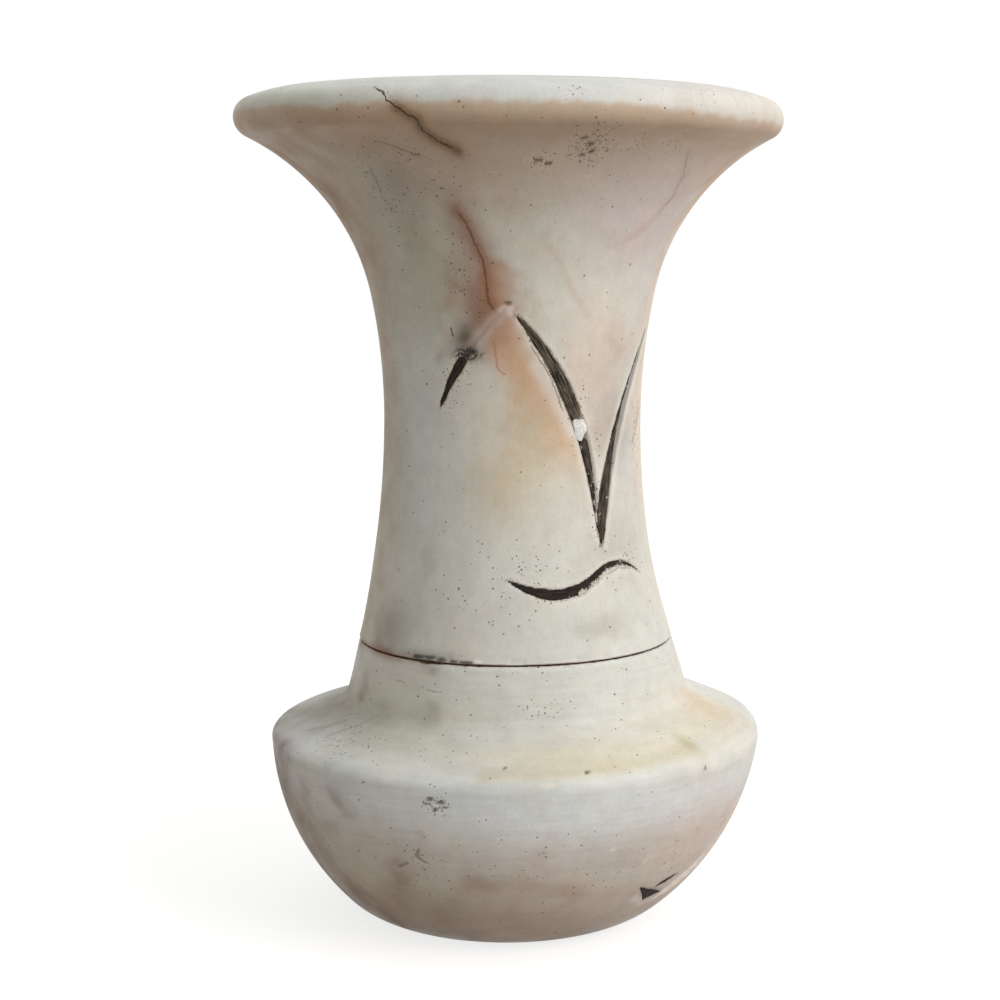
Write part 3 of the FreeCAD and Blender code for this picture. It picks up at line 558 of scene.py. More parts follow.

# Stains, and painted light and shade where marked: azimuth, height, half width, half height (mm), lean to the
# left where there is one, colour, strength
NECK_STAINS_LIGHT_AND_SHADE = (
    # (0, 223): tan under the flare all round, partly the stone's tone and partly painted shade; (-84, 214):
    # painted shade on the left side
    (0, 223, 170, 13, (198, 174, 158), 0.5), (-84, 214, 24, 26, (164, 126, 86), 0.85),
    # (84, 214): painted warm light on the right side
    (73, 158, 6, 32, (204, 178, 166), 0.5), (84, 214, 14, 24, (224, 190, 160), 0.5),
    (65, 229, 8, 4, ORANGE, 0.45), (-36, 229, 11, 5, (182, 146, 124), 0.5),
    (-33, 214, 10, 12, 10, (160, 150, 150), 0.55), (-53, 200, 6, 28, TAN, 0.3),
    # (-46, 150): painted light, paler and bluer on the dim left of the neck
    (-46, 150, 13, 62, (216, 226, 230), 0.6), (-34, 192, 10, 18, GREEN_GREY, 0.55),
    (-16, 191, 6, 12, 10, (160, 126, 102), 0.5), (-13, 201, 5, 12, 20, RUST, 0.3),
    (-12, 184, 7, 7, 20, (146, 102, 78), 0.6), (-4, 181, 4, 9, 20, (192, 140, 102), 0.55),
    (36, 209, 18, 15, LAVENDER, 0.6), (60, 205, 12, 24, -10, LAVENDER, 0.5),
    (-7, 179, 2.4, 3, (165, 130, 112), 0.5), (-1, 179, 2.2, 3, (165, 130, 112), 0.4),
    (-3, 172, 4.5, 9, 12, (204, 156, 124), 0.7), (7, 162, 5, 11, 32, (204, 160, 116), 0.6),
    (18, 150, 4.5, 11, 34, ORANGE, 0.6), (8, 142, 10, 12, 30, (212, 192, 152), 0.45),
    (27, 139, 4.5, 8, 20, (206, 176, 144), 0.4), (38, 166, 10, 20, (222, 200, 184), 0.55),
    (-6, 131, 8, 9, (204, 186, 152), 0.45), (68, 222, 10, 8, (206, 176, 158), 0.5),
    (34, 92, 10, 3, (170, 168, 160), 0.45), (-53, 90, 9, 9, (120, 110, 92), 0.5),
    # (-80, 150): painted shade, darker and warmer at the left side; (88, 160): painted warm light on the
    # right side
    (-80, 150, 12, 90, (172, 148, 116), 0.6), (88, 160, 10, 80, (228, 210, 180), 0.5),
    (-58, 83.6, 15, 0.9, RUST, 0.75), (-32, 84.5, 10, 1.6, SMUDGE, 0.45),
    (150, 190, 14, 26, 20, TAN, 0.3), (-140, 130, 16, 20, -20, LAVENDER, 0.45),
    (190, 214, 20, 12, ORANGE, 0.25), (50, 152, 9, 16, (172, 162, 156), 0.5),
    (52, 143, 8, 8, (168, 160, 156), 0.45), (-8, 176, 8, 8, (176, 152, 134), 0.4),
    (12, 152, 6, 6, (190, 166, 140), 0.35), (45, 112, 14, 9, (180, 174, 166), 0.5),
    # (-82, 216): painted shade on the left side
    (-82, 216, 10, 10, (150, 112, 72), 0.5), (20, 231, 22, 5, (176, 168, 160), 0.3),
    # (86, 216): painted warm light on the right side
    (86, 216, 8, 8, (220, 180, 140), 0.4),
)
NECK_SMEARS = (
    (-13.5, 179, 5, 6, -30, (136, 98, 76), 0.65),
    (-19.5, 174, 3.2, 3.6, -30, SMUDGE, 0.85),
    (-18.4, 169.8, 3.6, 2, (70, 60, 54), 0.85),
)
BOWL_STAINS_LIGHT_AND_SHADE = (
    # (-45, 66) and (-84, 63.5): painted soft shade on the left of the shoulder
    (-45, 66, 18, 6, GREEN_GREY, 0.6), (-84, 63.5, 40, 4.5, (146, 146, 128), 0.75),
    # (-68, 57.5) and (-25, 51): painted bluish-white sheen below the bowl's edge
    (-68, 57.5, 14, 5, (222, 228, 232), 0.85), (-25, 51, 60, 6, (222, 230, 234), 0.8),
    (18, 60.5, 32, 2.6, CREAM, 0.6), (60, 62, 18, 5, CREAM, 0.5),
    (76, 64, 10, 5, (214, 186, 150), 0.6), (46.5, 59.8, 3, 1.5, (176, 168, 116), 0.6),
    # (0, 46): painted bluish sheen round the belly below the edge
    (0, 46, 130, 8, (224, 231, 236), 0.7), (0, 33, 130, 5, (206, 198, 200), 0.35),
    # (0, 10): darker pinkish brown towards the foot, partly the stone's tone and partly painted shade; (-76,
    # 28): painted shade on the left side
    (0, 10, 140, 14, (174, 142, 124), 0.55), (-76, 28, 18, 30, (118, 88, 62), 0.9),
    (-40, 12, 22, 9, (140, 108, 82), 0.3), (70.5, 31, 4, 6, (226, 216, 202), 0.7),
    (-30, 81.2, 2.2, 1.5, (96, 98, 76), 0.4), (-58, 82.8, 15, 0.9, RUST, 0.6),
    (-15.8, 82.5, 2.6, 0.6, CHALK, 0.8), (160, 30, 26, 14, TAN, 0.45),
    # (-88, 34): painted shade on the left side
    (-150, 62, 18, 5, GREEN_GREY, 0.4), (-88, 34, 20, 18, (96, 70, 46), 0.7),
    (-64, 26, 20, 12, (150, 126, 104), 0.4), (56, 32, 30, 12, (208, 182, 172), 0.55),
)

# Chips and small marks: colour, and for each mark azimuth, height, half width, half height (mm)
NECK_CHIPS = (
    ((226, 208, 202), ((-2.3, 181.5, 1.9, 1.5),)),
    (SMUDGE, ((15.5, 227, 0.9, 0.4), (17.5, 225.5, 0.8, 0.6), (18.7, 224, 0.9, 0.5), (16.3, 223, 0.8, 0.4),
              (6.4, 221.3, 1, 0.35), (9, 220.8, 0.8, 0.4), (-1.9, 183.6, 1.1, 0.6))),
    (CHALK, ((-13.5, 84.3, 1.6, 0.7),)),
    (BLACK, ((-36.5, 84.2, 2.2, 0.5), (-31.5, 84.4, 1.9, 0.6), (-27, 84.1, 1.6, 0.5), (-22, 83.9, 1, 0.4),
             (-17, 83.9, 2.2, 0.4))),
)
BOWL_CHIPS = (
    (SMUDGE, ((-18.7, 51.6, 0.9, 0.6), (-16.4, 50.8, 1.1, 0.7), (-17.5, 48.8, 0.8, 0.5),
              (-15.3, 49.6, 0.7, 0.5), (-19.6, 50.2, 0.6, 0.4), (-3, 59.5, 0.5, 0.3), (15.4, 58.2, 0.5, 0.3),
              (-35.3, 53.8, 0.5, 0.4), (45.9, 55, 0.6, 0.4))),
    (CHALK, ((6.8, 55.8, 2.6, 0.5), (-19.4, 56.5, 1, 0.4), (23.1, 35.8, 0.8, 0.5), (33.6, 29.8, 0.7, 0.4))),
)

# Lines given as (azimuth, height mm) points
LIP_CRACK = ((-27.2, 239.9), (-24.3, 238.2), (-23.1, 235.9), (-21.6, 234.4), (-19.7, 232.7), (-17.6, 230.9),
             (-17.9, 228.7), (-15.8, 226.2), (-12.1, 223.7))
RUST_VEIN = ((-16.7, 208.2), (-14.4, 204.7), (-12.6, 199.4), (-10.3, 195.2), (-9.9, 189.9), (-9.5, 184.2),
             (-6.9, 180.9))
RIGHT_VEIN = ((44.3, 225.2), (51.8, 218.2), (54.3, 212.4), (52, 207.7), (47, 203.2), (41.4, 200.4))
# Soft veins: line, half width (mm), colour, strength
NECK_VEINS = (
    (RUST_VEIN, 2.2, RUST, 0.6),
    (LIP_CRACK[3:], 3.4, (168, 132, 92), 0.45),
    (LIP_CRACK[3:], 1.5, (112, 88, 60), 0.75),
    (((9, 166), (18, 156), (25, 147)), 1.7, (224, 216, 212), 0.65),
    (RIGHT_VEIN, 1.6, (196, 176, 178), 0.5),
    (((13.1, 198.7), (18, 193.2), (22.7, 186.7), (31.1, 179.9)), 1, (196, 180, 160), 0.4),
    (((150, 214), (158, 196), (154, 176), (163, 158)), 1.4, (190, 170, 164), 0.5),
)
BOWL_VEINS = (
    (((-8, 57.9), (20, 58.4), (46, 59.2)), 1.2, (196, 182, 140), 0.35),
    (((-10.6, 24.8), (-3.2, 26.2), (1.7, 27), (11.7, 24), (17.4, 21.5)), 2.6, (158, 120, 98), 0.3),
    (((37, 16.6), (42, 13.4), (48, 13.6)), 1.2, (230, 226, 226), 0.55),
)
# Fine lines, cracks and scratches, and soft lines of painted shade: line, half width (mm), colour, strength
NECK_LINES = (
    (LIP_CRACK, 0.26, (70, 46, 32), 0.9),
    (RUST_VEIN, 0.4, (104, 62, 42), 0.6),
    (((-29.8, 226.4), (-27.7, 225.4), (-25.2, 224.2), (-23.5, 223.2), (-20.6, 222.4)), 0.2, GREY_BROWN, 0.6),
    (((-38, 220.2), (-38.8, 216.4), (-39.9, 212.7)), 0.25, GREY_BROWN, 0.5),
    (((-70.5, 215.9), (-74, 214), (-81.3, 211.9)), 0.3, (120, 86, 60), 0.7),
    (((-25.5, 176.7), (-24.5, 173.9)), 0.3, SMUDGE, 0.7),
    (((-8, 173.2), (-6.3, 165), (-3.2, 163.5)), 0.3, (184, 124, 80), 0.6),
    (RIGHT_VEIN[:4], 0.3, (160, 132, 130), 0.45),
    (((6.6, 172), (15.7, 162.8), (22, 152.6)), 0.28, (118, 100, 86), 0.6),
    (((76, 152.5), (71, 146.5), (65, 142)), 0.3, (104, 96, 92), 0.7),
)
BOWL_LINES = (
    # The first two: soft lines of painted shade on the left of the shoulder
    (((-62, 64.2), (-66, 62), (-70, 60.8)), 0.7, (112, 110, 94), 0.28),
    (((-52, 66.5), (-56, 63.2), (-60, 61)), 0.6, (112, 110, 94), 0.25),
    (((-46, 76.9), (-41, 76.7)), 0.22, GREY_BROWN, 0.4),
    (((-32, 75.6), (-25.5, 75.4)), 0.22, GREY_BROWN, 0.4),
    (((-28.1, 29.5), (-24.9, 31.5)), 0.5, (112, 88, 70), 0.55),
    (((-23.1, 34), (-21.6, 36)), 0.5, (112, 88, 70), 0.55),
    (((-23.1, 34), (-20.1, 32.2)), 0.5, (112, 88, 70), 0.55),
)

# Dark specks: azimuth, height, half width, half height (mm), share of the places that hold a speck
NECK_SPECKS = (
    (18, 225.5, 5, 4, 0.85), (7, 221, 3.5, 1.4, 0.6), (-37, 213, 8, 10, 0.16),
    (13.5, 227, 2, 1.2, 0.35), (29, 225.5, 4, 2, 0.35), (38.5, 226, 3, 2, 0.3),
    (11.5, 238.5, 4, 1.5, 0.3), (41.5, 238, 4, 1.5, 0.3), (-17, 190, 6, 10, 0.22),
    (-28, 218, 16, 12, 0.1), (-23, 166, 4, 6, 0.3), (2, 106, 12, 8, 0.14),
    (-16, 101, 10, 6, 0.1), (38, 120, 2.5, 8, 0.4), (50, 109, 10, 5, 0.14),
    (2, 109, 2.4, 1.6, 0.5), (-2, 106, 4, 2, 0.25), (29, 151, 2.5, 9, 0.32),
    (36, 139, 2.5, 9, 0.32), (70, 146, 3, 7, 0.35), (-26, 154, 2.5, 2.5, 0.35),
)
BOWL_SPECKS = (
    (-17, 50, 3, 2.4, 0.85), (8.7, 71, 7, 2.6, 0.22), (-18, 64, 9, 3, 0.1),
    (-22, 32, 5, 5, 0.22), (45, 24, 6, 5, 0.05), (-52, 62, 12, 5, 0.14),
    (0, 30, 90, 8, 0.05),
)

# The lip's painted highlight: the height of its lower edge by azimuth, and its colours from left to right
BAND_TURNS = (-76.6, -39.0, -20.7, 12.5, 26.9, 39.4, 61.7)
BAND_EDGES = np.array([236.9, 235.6, 235.9, 236.0, 235.4, 234.2, 233.2]) * MM
HIGHLIGHT_COLOURS = (srgb(208, 212, 200), srgb(205, 210, 210), srgb(214, 209, 200))
HIGHLIGHT_COLOUR_TURNS = (-60.0, 0.0, 60.0)
# How far below the lip's edge the painted shade reaches
UNDER_LIP_SHADE_DROP = 14 * MM


def paint_lip(neck):
    """A painted highlight round the lip's edge, with painted shade under it and a brown line along the crown.
    """
    edge = np.interp(neck.turn, BAND_TURNS, BAND_EDGES) + cloud(neck.points, 4, 25) * 0.5 * MM
    below = ease(edge + 1 * MM, edge - 1.2 * MM, neck.height)
    # Painted shade under the lip's edge, fading out lower down
    neck.paint(UNDER_LIP_SHADE, 0.5 * below * ease(edge - UNDER_LIP_SHADE_DROP, edge - 0.2 * UNDER_LIP_SHADE_DROP, neck.height))
    # Painted highlight: pale bluish colours above the lip's edge
    highlight = [np.interp(neck.turn, HIGHLIGHT_COLOUR_TURNS, channel) for channel in zip(*HIGHLIGHT_COLOURS)]
    neck.colours += (np.stack(highlight, axis=-1) - neck.colours) * (0.8 * (1 - below))[:, None]
    # A brown line along the crown, from the front round to the right
    crown = ease(VASE_HEIGHT - 0.7 * MM, VASE_HEIGHT - 0.4 * MM, neck.height)
    neck.paint(CROWN_BROWN, 0.55 * crown * ease(-20, 0, neck.turn) * ease(70, 55, neck.turn))


def groove(inside, depth, ramp=GROOVE_RAMP):
    return depth * ease(-0.25 * ramp, 0.75 * ramp, inside)


def beside(inside, reach):
    """1 inside a stroke's edge, falling off outside it over a reach in mm."""
    return np.exp(-(np.minimum(inside, 0) / (reach * MM)) ** 2)


def bare_share(stroke, share, offset):
    """Where a cut stroke has lost its filling, from 0 to 1."""
    if stroke is ZIGZAG_LEFT:
        return ease(LEFT_BREAK_SHARE - 0.02, LEFT_BREAK_SHARE + 0.03, share)
    if stroke is ZIGZAG_RIGHT:
        edge = stroke.half_width_at(share) * (1 - 2 * np.interp(share, *RIGHT_WIDTHS))
        return ease(0.25 * MM, -0.25 * MM, offset - edge)
    if stroke is ZIGZAG_MIDDLE:
        edge = stroke.half_width_at(share) * np.interp(share, *LOW_WIDTHS)
        return 0.75 * ease(-0.1 * MM, 0.25 * MM, np.abs(offset) - edge) * (share < PLASTER_SHARE)
    return np.zeros(len(share))


def make_neck(material):
    neck = Turned(*neck_outline(), columns((-42, 86, 0.6)))
    neck.stain_light_and_shade(NECK_STAINS_LIGHT_AND_SHADE, 20)
    paint_lip(neck)
    neck.vein(NECK_VEINS)
    neck.chip(NECK_CHIPS)
    neck.rub(2.2 * neck.near(-18.6, 169.2, 3.4, 1.9))
    for number, stroke in enumerate((ZIGZAG_LEFT, ZIGZAG_MIDDLE, ZIGZAG_RIGHT, WAVE)):
        share, offset, inside = stroke.measure(neck, 0.12, 40 + number)
        bare = bare_share(stroke, share, offset)
        halo = 0.4 * beside(inside + 0.4 * MM, 1.2) * (share > 0) * (share < 1)
        neck.paint(CHALK, halo * neck.outer)
        worn = {ZIGZAG_LEFT: WORN, ZIGZAG_RIGHT: RUBBED_GREY}.get(stroke, WORN_GREY)
        neck.paint(worn, 0.85 * ease(-0.3 * MM, 0.3 * MM, inside) * bare * neck.outer)
        neck.carve(groove(inside, GROOVE_DEPTH + (SCRAPE_DEPTH - GROOVE_DEPTH) * bare))
        neck.rub(0.75 * beside(inside, 0.4) * (1 - bare))
    neck.stain_light_and_shade(NECK_SMEARS, 22)
    # Chips along the lower edge, worse at the left, and the knot over the zigzag's first corner
    chips = ease(0.15, 0.9, cloud(neck.points, 3, 60)) * ease(2.2 * MM, 0, neck.height - SEAM_FACE)
    worse = np.exp(-((neck.azimuth + 22) / 12) ** 2)
    neck.carve(chips * (0.35 + 0.6 * worse) * MM)
    neck.depth -= 0.3 * MM * neck.near(-2.3, 181.5, 1.6, 1.6) * neck.outer
    neck.make_stone("neck_stone", "neck", material, NECK_LINES, NECK_SPECKS)
    return neck


def make_bowl(material):
    bowl = Turned(*bowl_outline(), columns((-66, 30, 0.7), (30, 78, 0.5)))
    bowl.stain_light_and_shade(BOWL_STAINS_LIGHT_AND_SHADE, 80)
    bowl.vein(BOWL_VEINS)
    bowl.chip(BOWL_CHIPS)
    scrape = BOWL_SCRAPE.measure(bowl, 0.2, 90)[2]
    bowl.carve(groove(scrape, BOWL_SCRAPE_DEPTH, BOWL_SCRAPE_RAMP))
    bowl.paint(SCRAPED, 0.75 * ease(-0.5 * MM, 0.8 * MM, scrape) * bowl.outer)
    for number, stroke in enumerate((BOWL_WEDGE, BOWL_TICK)):
        inside = stroke.measure(bowl, 0.12, 92 + number)[2]
        bowl.carve(groove(inside, GROOVE_DEPTH))
        bowl.rub(0.6 * beside(inside, 0.4))
    # Chips along the edge of the collar
    chips = ease(0.35, 1.0, cloud(bowl.points, 4, 61))
    bowl.carve(chips * np.exp(-((bowl.height - SEAM_HEIGHT) / (1.5 * MM)) ** 2) * 0.3 * MM)
    bowl.make_stone("bowl_stone", "bowl", material, BOWL_LINES, BOWL_SPECKS)
    return bowl


# Materials


class Graph:
    """The nodes of a material or of the world, with short calls to add and join them. Sizes are in mm."""

    def __init__(self, tree):
        tree.nodes.clear()
        self.tree = tree

    def node(self, kind, values, **settings):
        """Adds a node, with values or links for its inputs."""
        made = self.tree.nodes.new("ShaderNode" + kind)
        for key, value in settings.items():
            setattr(made, key, value)
        for key, value in values.items():
            socket = made.inputs[key]
            if isinstance(value, bpy.types.NodeSocket):
                self.tree.links.new(value, socket)
            else:
                socket.default_value = (*value, 1) if socket.type == "RGBA" else value
        return made.outputs

    def number(self, operation, first, *others):
        for other in others or (0.0,):
            first = self.node("Math", {0: first, 1: other}, operation=operation)[0]
        return first

    def times(self, *factors):
        return self.number("MULTIPLY", *factors)

    def plus(self, *terms):
        return self.number("ADD", *terms)

    def ramp(self, value, low, high, start=0.0, end=1.0):
        values = {"Value": value, "From Min": low, "From Max": high, "To Min": start, "To Max": end}
        return self.node("MapRange", values, interpolation_type="SMOOTHSTEP")["Result"]

    def mix(self, factor, first, second, blend="MIX"):
        return self.node("Mix", {0: factor, 6: first, 7: second}, data_type="RGBA", blend_type=blend)[2]

    def spot(self):
        return self.node("TexCoord", {})["Object"]

    def noise(self, coordinates, size, detail=3.0, roughness=0.55, output="Fac"):
        values = {"Vector": coordinates, "Scale": 1 / (size * MM), "Detail": detail, "Roughness": roughness}
        return self.node("TexNoise", values)[output]

    def streaks(self, coordinates, scale, detail, roughness):
        """Noise drawn out by a scale for each axis."""
        drawn_out = self.node("Mapping", {"Vector": coordinates, "Scale": scale})[0]
        return self.noise(drawn_out, 1 / MM, detail, roughness)

    def attribute(self, name, output="Fac"):
        return self.node("Attribute", {}, attribute_name=name)[output]

    def bump(self, height, strength, distance, **under):
        values = {"Height": height, "Strength": strength, "Distance": distance * MM, **under}
        return self.node("Bump", values)["Normal"]

    def specks(self, spot, cell, chance, smallest, largest):
        """Dots in cells of a size, where a chance from 0 to 1 decides whether a cell holds one."""
        cells = self.node("TexVoronoi", {"Vector": spot, "Scale": 1 / (cell * MM), "Randomness": 1.0})
        drawn = self.node("SeparateColor", {0: cells["Color"]})
        dot = self.number("LESS_THAN", cells["Distance"], self.ramp(drawn[1], 0.0, 1.0, smallest, largest))
        return self.times(dot, self.number("LESS_THAN", drawn[0], chance))

    def surface(self, colour, roughness, specular, normal, more=None):
        values = {"Base Color": colour, "Roughness": roughness, "Specular IOR Level": specular}
        shader = self.node("BsdfPrincipled", {**values, "Normal": normal, **(more or {})})
        self.node("OutputMaterial", {"Surface": shader[0]})

    def seen_directly(self):
        """1 for what the camera, a reflection or glass sees, and 0 for light that falls on the stone."""
        path = self.node("LightPath", {})
        rays = ("Camera", "Glossy", "Transmission")
        return self.number("MAXIMUM", *[path[f"Is {ray} Ray"] for ray in rays])


def new_material(name):
    material = bpy.data.materials.new(name)
    material.use_nodes = True
    return material, Graph(material.node_tree)


# Mottling of the stone: size (mm), darkest and lightest share
MOTTLES = ((26, 0.955, 1.045), (5, 0.965, 1.025), (0.9, 0.965, 1.025))
SPECK_STRENGTH = 0.8
SUBSURFACE = {"Subsurface Weight": 0.3, "Subsurface Radius": (1.0, 0.8, 0.6), "Subsurface Scale": 2.5 * MM}


def stone_material(name, streak_scale, streak_depth):
    """Worn alabaster: painted tones under mottling, streaks, specks, fine lines and rubbed-in black."""
    material, graph = new_material(name)
    spot = graph.spot()
    streaks = graph.streaks(spot, streak_scale, 4.0, 0.5)
    shade = graph.ramp(streaks, 0.3, 0.7, 1 - streak_depth, 1 + 0.7 * streak_depth)
    for size, darkest, lightest in MOTTLES:
        shade = graph.times(shade, graph.ramp(graph.noise(spot, size), 0.3, 0.7, darkest, lightest))
    grey = graph.node("CombineColor", {0: shade, 1: shade, 2: shade})[0]
    tone = graph.mix(1.0, graph.attribute("tone", "Color"), grey, "MULTIPLY")
    warm = graph.ramp(graph.noise(spot, 14, 5.0, 0.65), 0.5, 0.72, 0.0, 0.16)
    tone = graph.mix(warm, tone, srgb(205, 184, 160))
    # Specks with ragged edges
    ragged = {0: graph.noise(spot, 0.5, 2.0, 0.5, "Color"), 1: (0.3 * MM, 0.3 * MM, 0.3 * MM), 2: spot}
    bent = graph.node("VectorMath", ragged, operation="MULTIPLY_ADD")[0]
    fine_specks = graph.specks(bent, 0.6, graph.attribute("specks"), 0.18, 0.52)
    sparse_specks = graph.specks(bent, 2.4, 0.035, 0.05, 0.15)
    speck = graph.times(graph.number("MAXIMUM", fine_specks, sparse_specks), SPECK_STRENGTH)
    tone = graph.mix(speck, tone, srgb(82, 70, 58))
    # Fine lines
    waver = graph.ramp(graph.noise(spot, 1.6), 0.25, 0.75, -0.25, 0.25)
    away = graph.number("ABSOLUTE", graph.plus(graph.attribute("line_offset"), waver))
    near = graph.ramp(graph.number("DIVIDE", away, graph.attribute("line_half")), 1.3, 0.6)
    line = graph.times(near, graph.attribute("line_mask"))
    tone = graph.mix(line, tone, graph.attribute("line_tone", "Color"))
    # Black rubbed into the pores round the strokes
    pores = graph.ramp(graph.noise(spot, 0.7, 6.0, 0.7), 0.38, 0.62)
    tone = graph.mix(graph.times(graph.attribute("soot"), pores), tone, srgb(46, 40, 36))
    soft = graph.bump(graph.noise(spot, 7, 4.0), 0.35, 0.5)
    relief = graph.plus(graph.noise(spot, 0.8, 3.0), graph.times(streaks, 0.3))
    normal = graph.bump(graph.number("SUBTRACT", relief, speck, line), 0.3, 0.12, Normal=soft)
    rough = graph.ramp(graph.noise(spot, 9), 0.3, 0.7, 0.42, 0.58)
    graph.surface(tone, rough, 0.25, normal, {"IOR": 1.5, **SUBSURFACE})
    return material


def filling_material(name):
    """Black filling rubbed in by hand: streaks along the stroke, and stone dust where it flaked."""
    material, graph = new_material(name)
    places = {number: graph.attribute(key) for number, key in enumerate(("along", "across", "depth"))}
    streaks = graph.streaks(graph.node("CombineXYZ", places)[0], (0.16, 2.6, 1.0), 5.0, 0.65)
    brushed = graph.times(graph.ramp(streaks, 0.4, 0.66), graph.attribute("grain"))
    tint = graph.mix(brushed, srgb(27, 23, 20), srgb(124, 112, 98))
    crumbs = graph.noise(graph.spot(), 0.5, 4.0, 0.7)
    flake = graph.plus(graph.attribute("flake"), graph.ramp(crumbs, 0.3, 0.7, -0.28, 0.28))
    tint = graph.mix(graph.ramp(flake, 0.52, 0.66), tint, srgb(204, 198, 188))
    graph.surface(tint, 0.75, 0.15, graph.bump(graph.plus(crumbs, streaks), 0.6, 0.18))
    return material


def crumbly_material(name, dark, light, size, roughness, strength):
    """Cement or plaster: two tones in grains, with a rough surface."""
    material, graph = new_material(name)
    grains = graph.noise(graph.spot(), size, 5.0, 0.7)
    tint = graph.mix(graph.ramp(grains, 0.35, 0.68), srgb(*dark), srgb(*light))
    graph.surface(tint, roughness, 0.25, graph.bump(grains, strength, 0.3))
    return material


# Fillings, plaster and cement

ALONG_STEPS = 150
ACROSS_STEPS = 10


def slab(upper, lower, faces):
    """Points and faces of a closed slab: faces on its upper points, the same below, and its sides."""
    count = len(upper)
    edges = {pair for face in faces for pair in zip(face, face[1:] + face[:1])}
    sides = [(b, a, count + a, count + b) for a, b in sorted(edges) if (b, a) not in edges]
    below = [tuple(count + corner for corner in reversed(face)) for face in faces]
    return warp(np.concatenate([upper, lower])), faces + below + sides


def filling_strip(number, dust, worn, stone, stroke, first, last, widths=WHOLE, shift=0.0):
    """A strip of filling in its groove: points, faces and what is kept for its points."""
    shares = np.linspace(first, last, ALONG_STEPS + 1)
    sides = np.linspace(-1, 1, ACROSS_STEPS + 1)
    share, side = [grid.ravel() for grid in np.meshgrid(shares, sides, indexing="ij")]
    end = ease(0, 0.03, share - first) * ease(0, 0.03, last - share)
    half = (stroke.half_width_at(share) + 0.08 * MM) * (0.25 + 0.75 * end)
    filled = np.interp(share, *widths)
    offset = half * (side * filled + shift * (1 - filled))
    azimuth, height = stroke.place(share, offset, stone)
    surface = stone.radius_at(height)
    spots = at(azimuth, surface, height)
    seed = 150 + 2 * number
    lumps = cloud(spots, 1.4, seed) * 0.07 * MM + cloud(spots, 5, seed + 1) * 0.06 * MM
    top = surface - FILLING_RECESS - 0.12 * MM * side ** 2 + lumps
    upper = at(azimuth, np.minimum(top, surface - 0.02 * MM), height)
    lower = at(azimuth, surface - FILLING_DEPTH, height)
    width = ACROSS_STEPS + 1
    corners = [row * width + column for row in range(ALONG_STEPS) for column in range(ACROSS_STEPS)]
    faces = [(corner, corner + 1, corner + width + 1, corner + width) for corner in corners]
    amount, spread, size = dust
    flake = amount + spread * cloud(spots, size, 120 + number)
    for strength, worn_shares, worn_sides in worn:
        flake += strength * ease(*worn_shares, share) * ease(*worn_sides, side)
    upper_values = np.stack([share * stroke.length / MM, offset / MM, flake, 0 * share])
    lower_values = upper_values + [[0], [0], [0], [1]]
    return *slab(upper, lower, faces), np.concatenate([upper_values, lower_values], axis=1)


def make_filling(number, material, name, stone, strips, dust, worn, grain):
    """A filling of one or two strips, with stone dust on it, most of it in the worn places."""
    points, faces, values = np.empty((0, 3)), [], np.empty((4, 0))
    for strip in strips:
        more, rows, kept = filling_strip(number, dust, worn, stone, *strip)
        faces += [tuple(corner + len(points) for corner in row) for row in rows]
        points = np.concatenate([points, more])
        values = np.concatenate([values, kept], axis=1)
    piece = new_piece(name + "_filling", points, faces, name + "_inlay", "dark_filling", material)
    keep(piece, grain=np.full(len(points), grain), **dict(zip(("along", "across", "flake", "depth"), values)))


PLASTER_RINGS = 14
PLASTER_SPOKES = 40
PLASTER_HALF_WIDTH = 2.2 * MM
PLASTER_HALF_HEIGHT = 3 * MM


def make_plaster(material, neck):
    """The white mend: a lumpy cap across the middle stroke, a little proud of the stone."""
    turn = np.linspace(0, 2 * math.pi, PLASTER_SPOKES, endpoint=False)
    edge = np.exp(1j * turn) * (1 + 0.14 * np.sin(3 * turn + 0.6) + 0.09 * np.sin(5 * turn + 2.0))
    disc = np.concatenate([[0j]] + [edge * ring / PLASTER_RINGS for ring in range(1, PLASTER_RINGS + 1)])
    middle_azimuth, middle_height = ZIGZAG_MIDDLE.place(PLASTER_SHARE, 0.0, neck)
    height = middle_height + disc.imag * PLASTER_HALF_HEIGHT
    surface = neck.radius_at(height)
    azimuth = middle_azimuth + np.degrees(disc.real * PLASTER_HALF_WIDTH / surface)
    out = np.abs(disc)
    cap = (1 - ease(0.55, 1.05, out)) * 0.32 * MM - 0.05 * MM
    lumps = cloud(at(azimuth, surface, height), 1.3, 130) * 0.12 * MM * (1 - 0.7 * out)
    faces = []
    for spoke in range(1, PLASTER_SPOKES + 1):
        after = spoke % PLASTER_SPOKES + 1
        faces.append((0, spoke, after))
        for low in range(0, (PLASTER_RINGS - 1) * PLASTER_SPOKES, PLASTER_SPOKES):
            high = low + PLASTER_SPOKES
            faces.append((low + spoke, high + spoke, high + after, low + after))
    upper = at(azimuth, surface + cap + lumps, height)
    lower = at(azimuth, surface - FILLING_DEPTH, height)
    new_piece("plaster_mend", *slab(upper, lower, faces), "plaster_patch", "plaster", material)


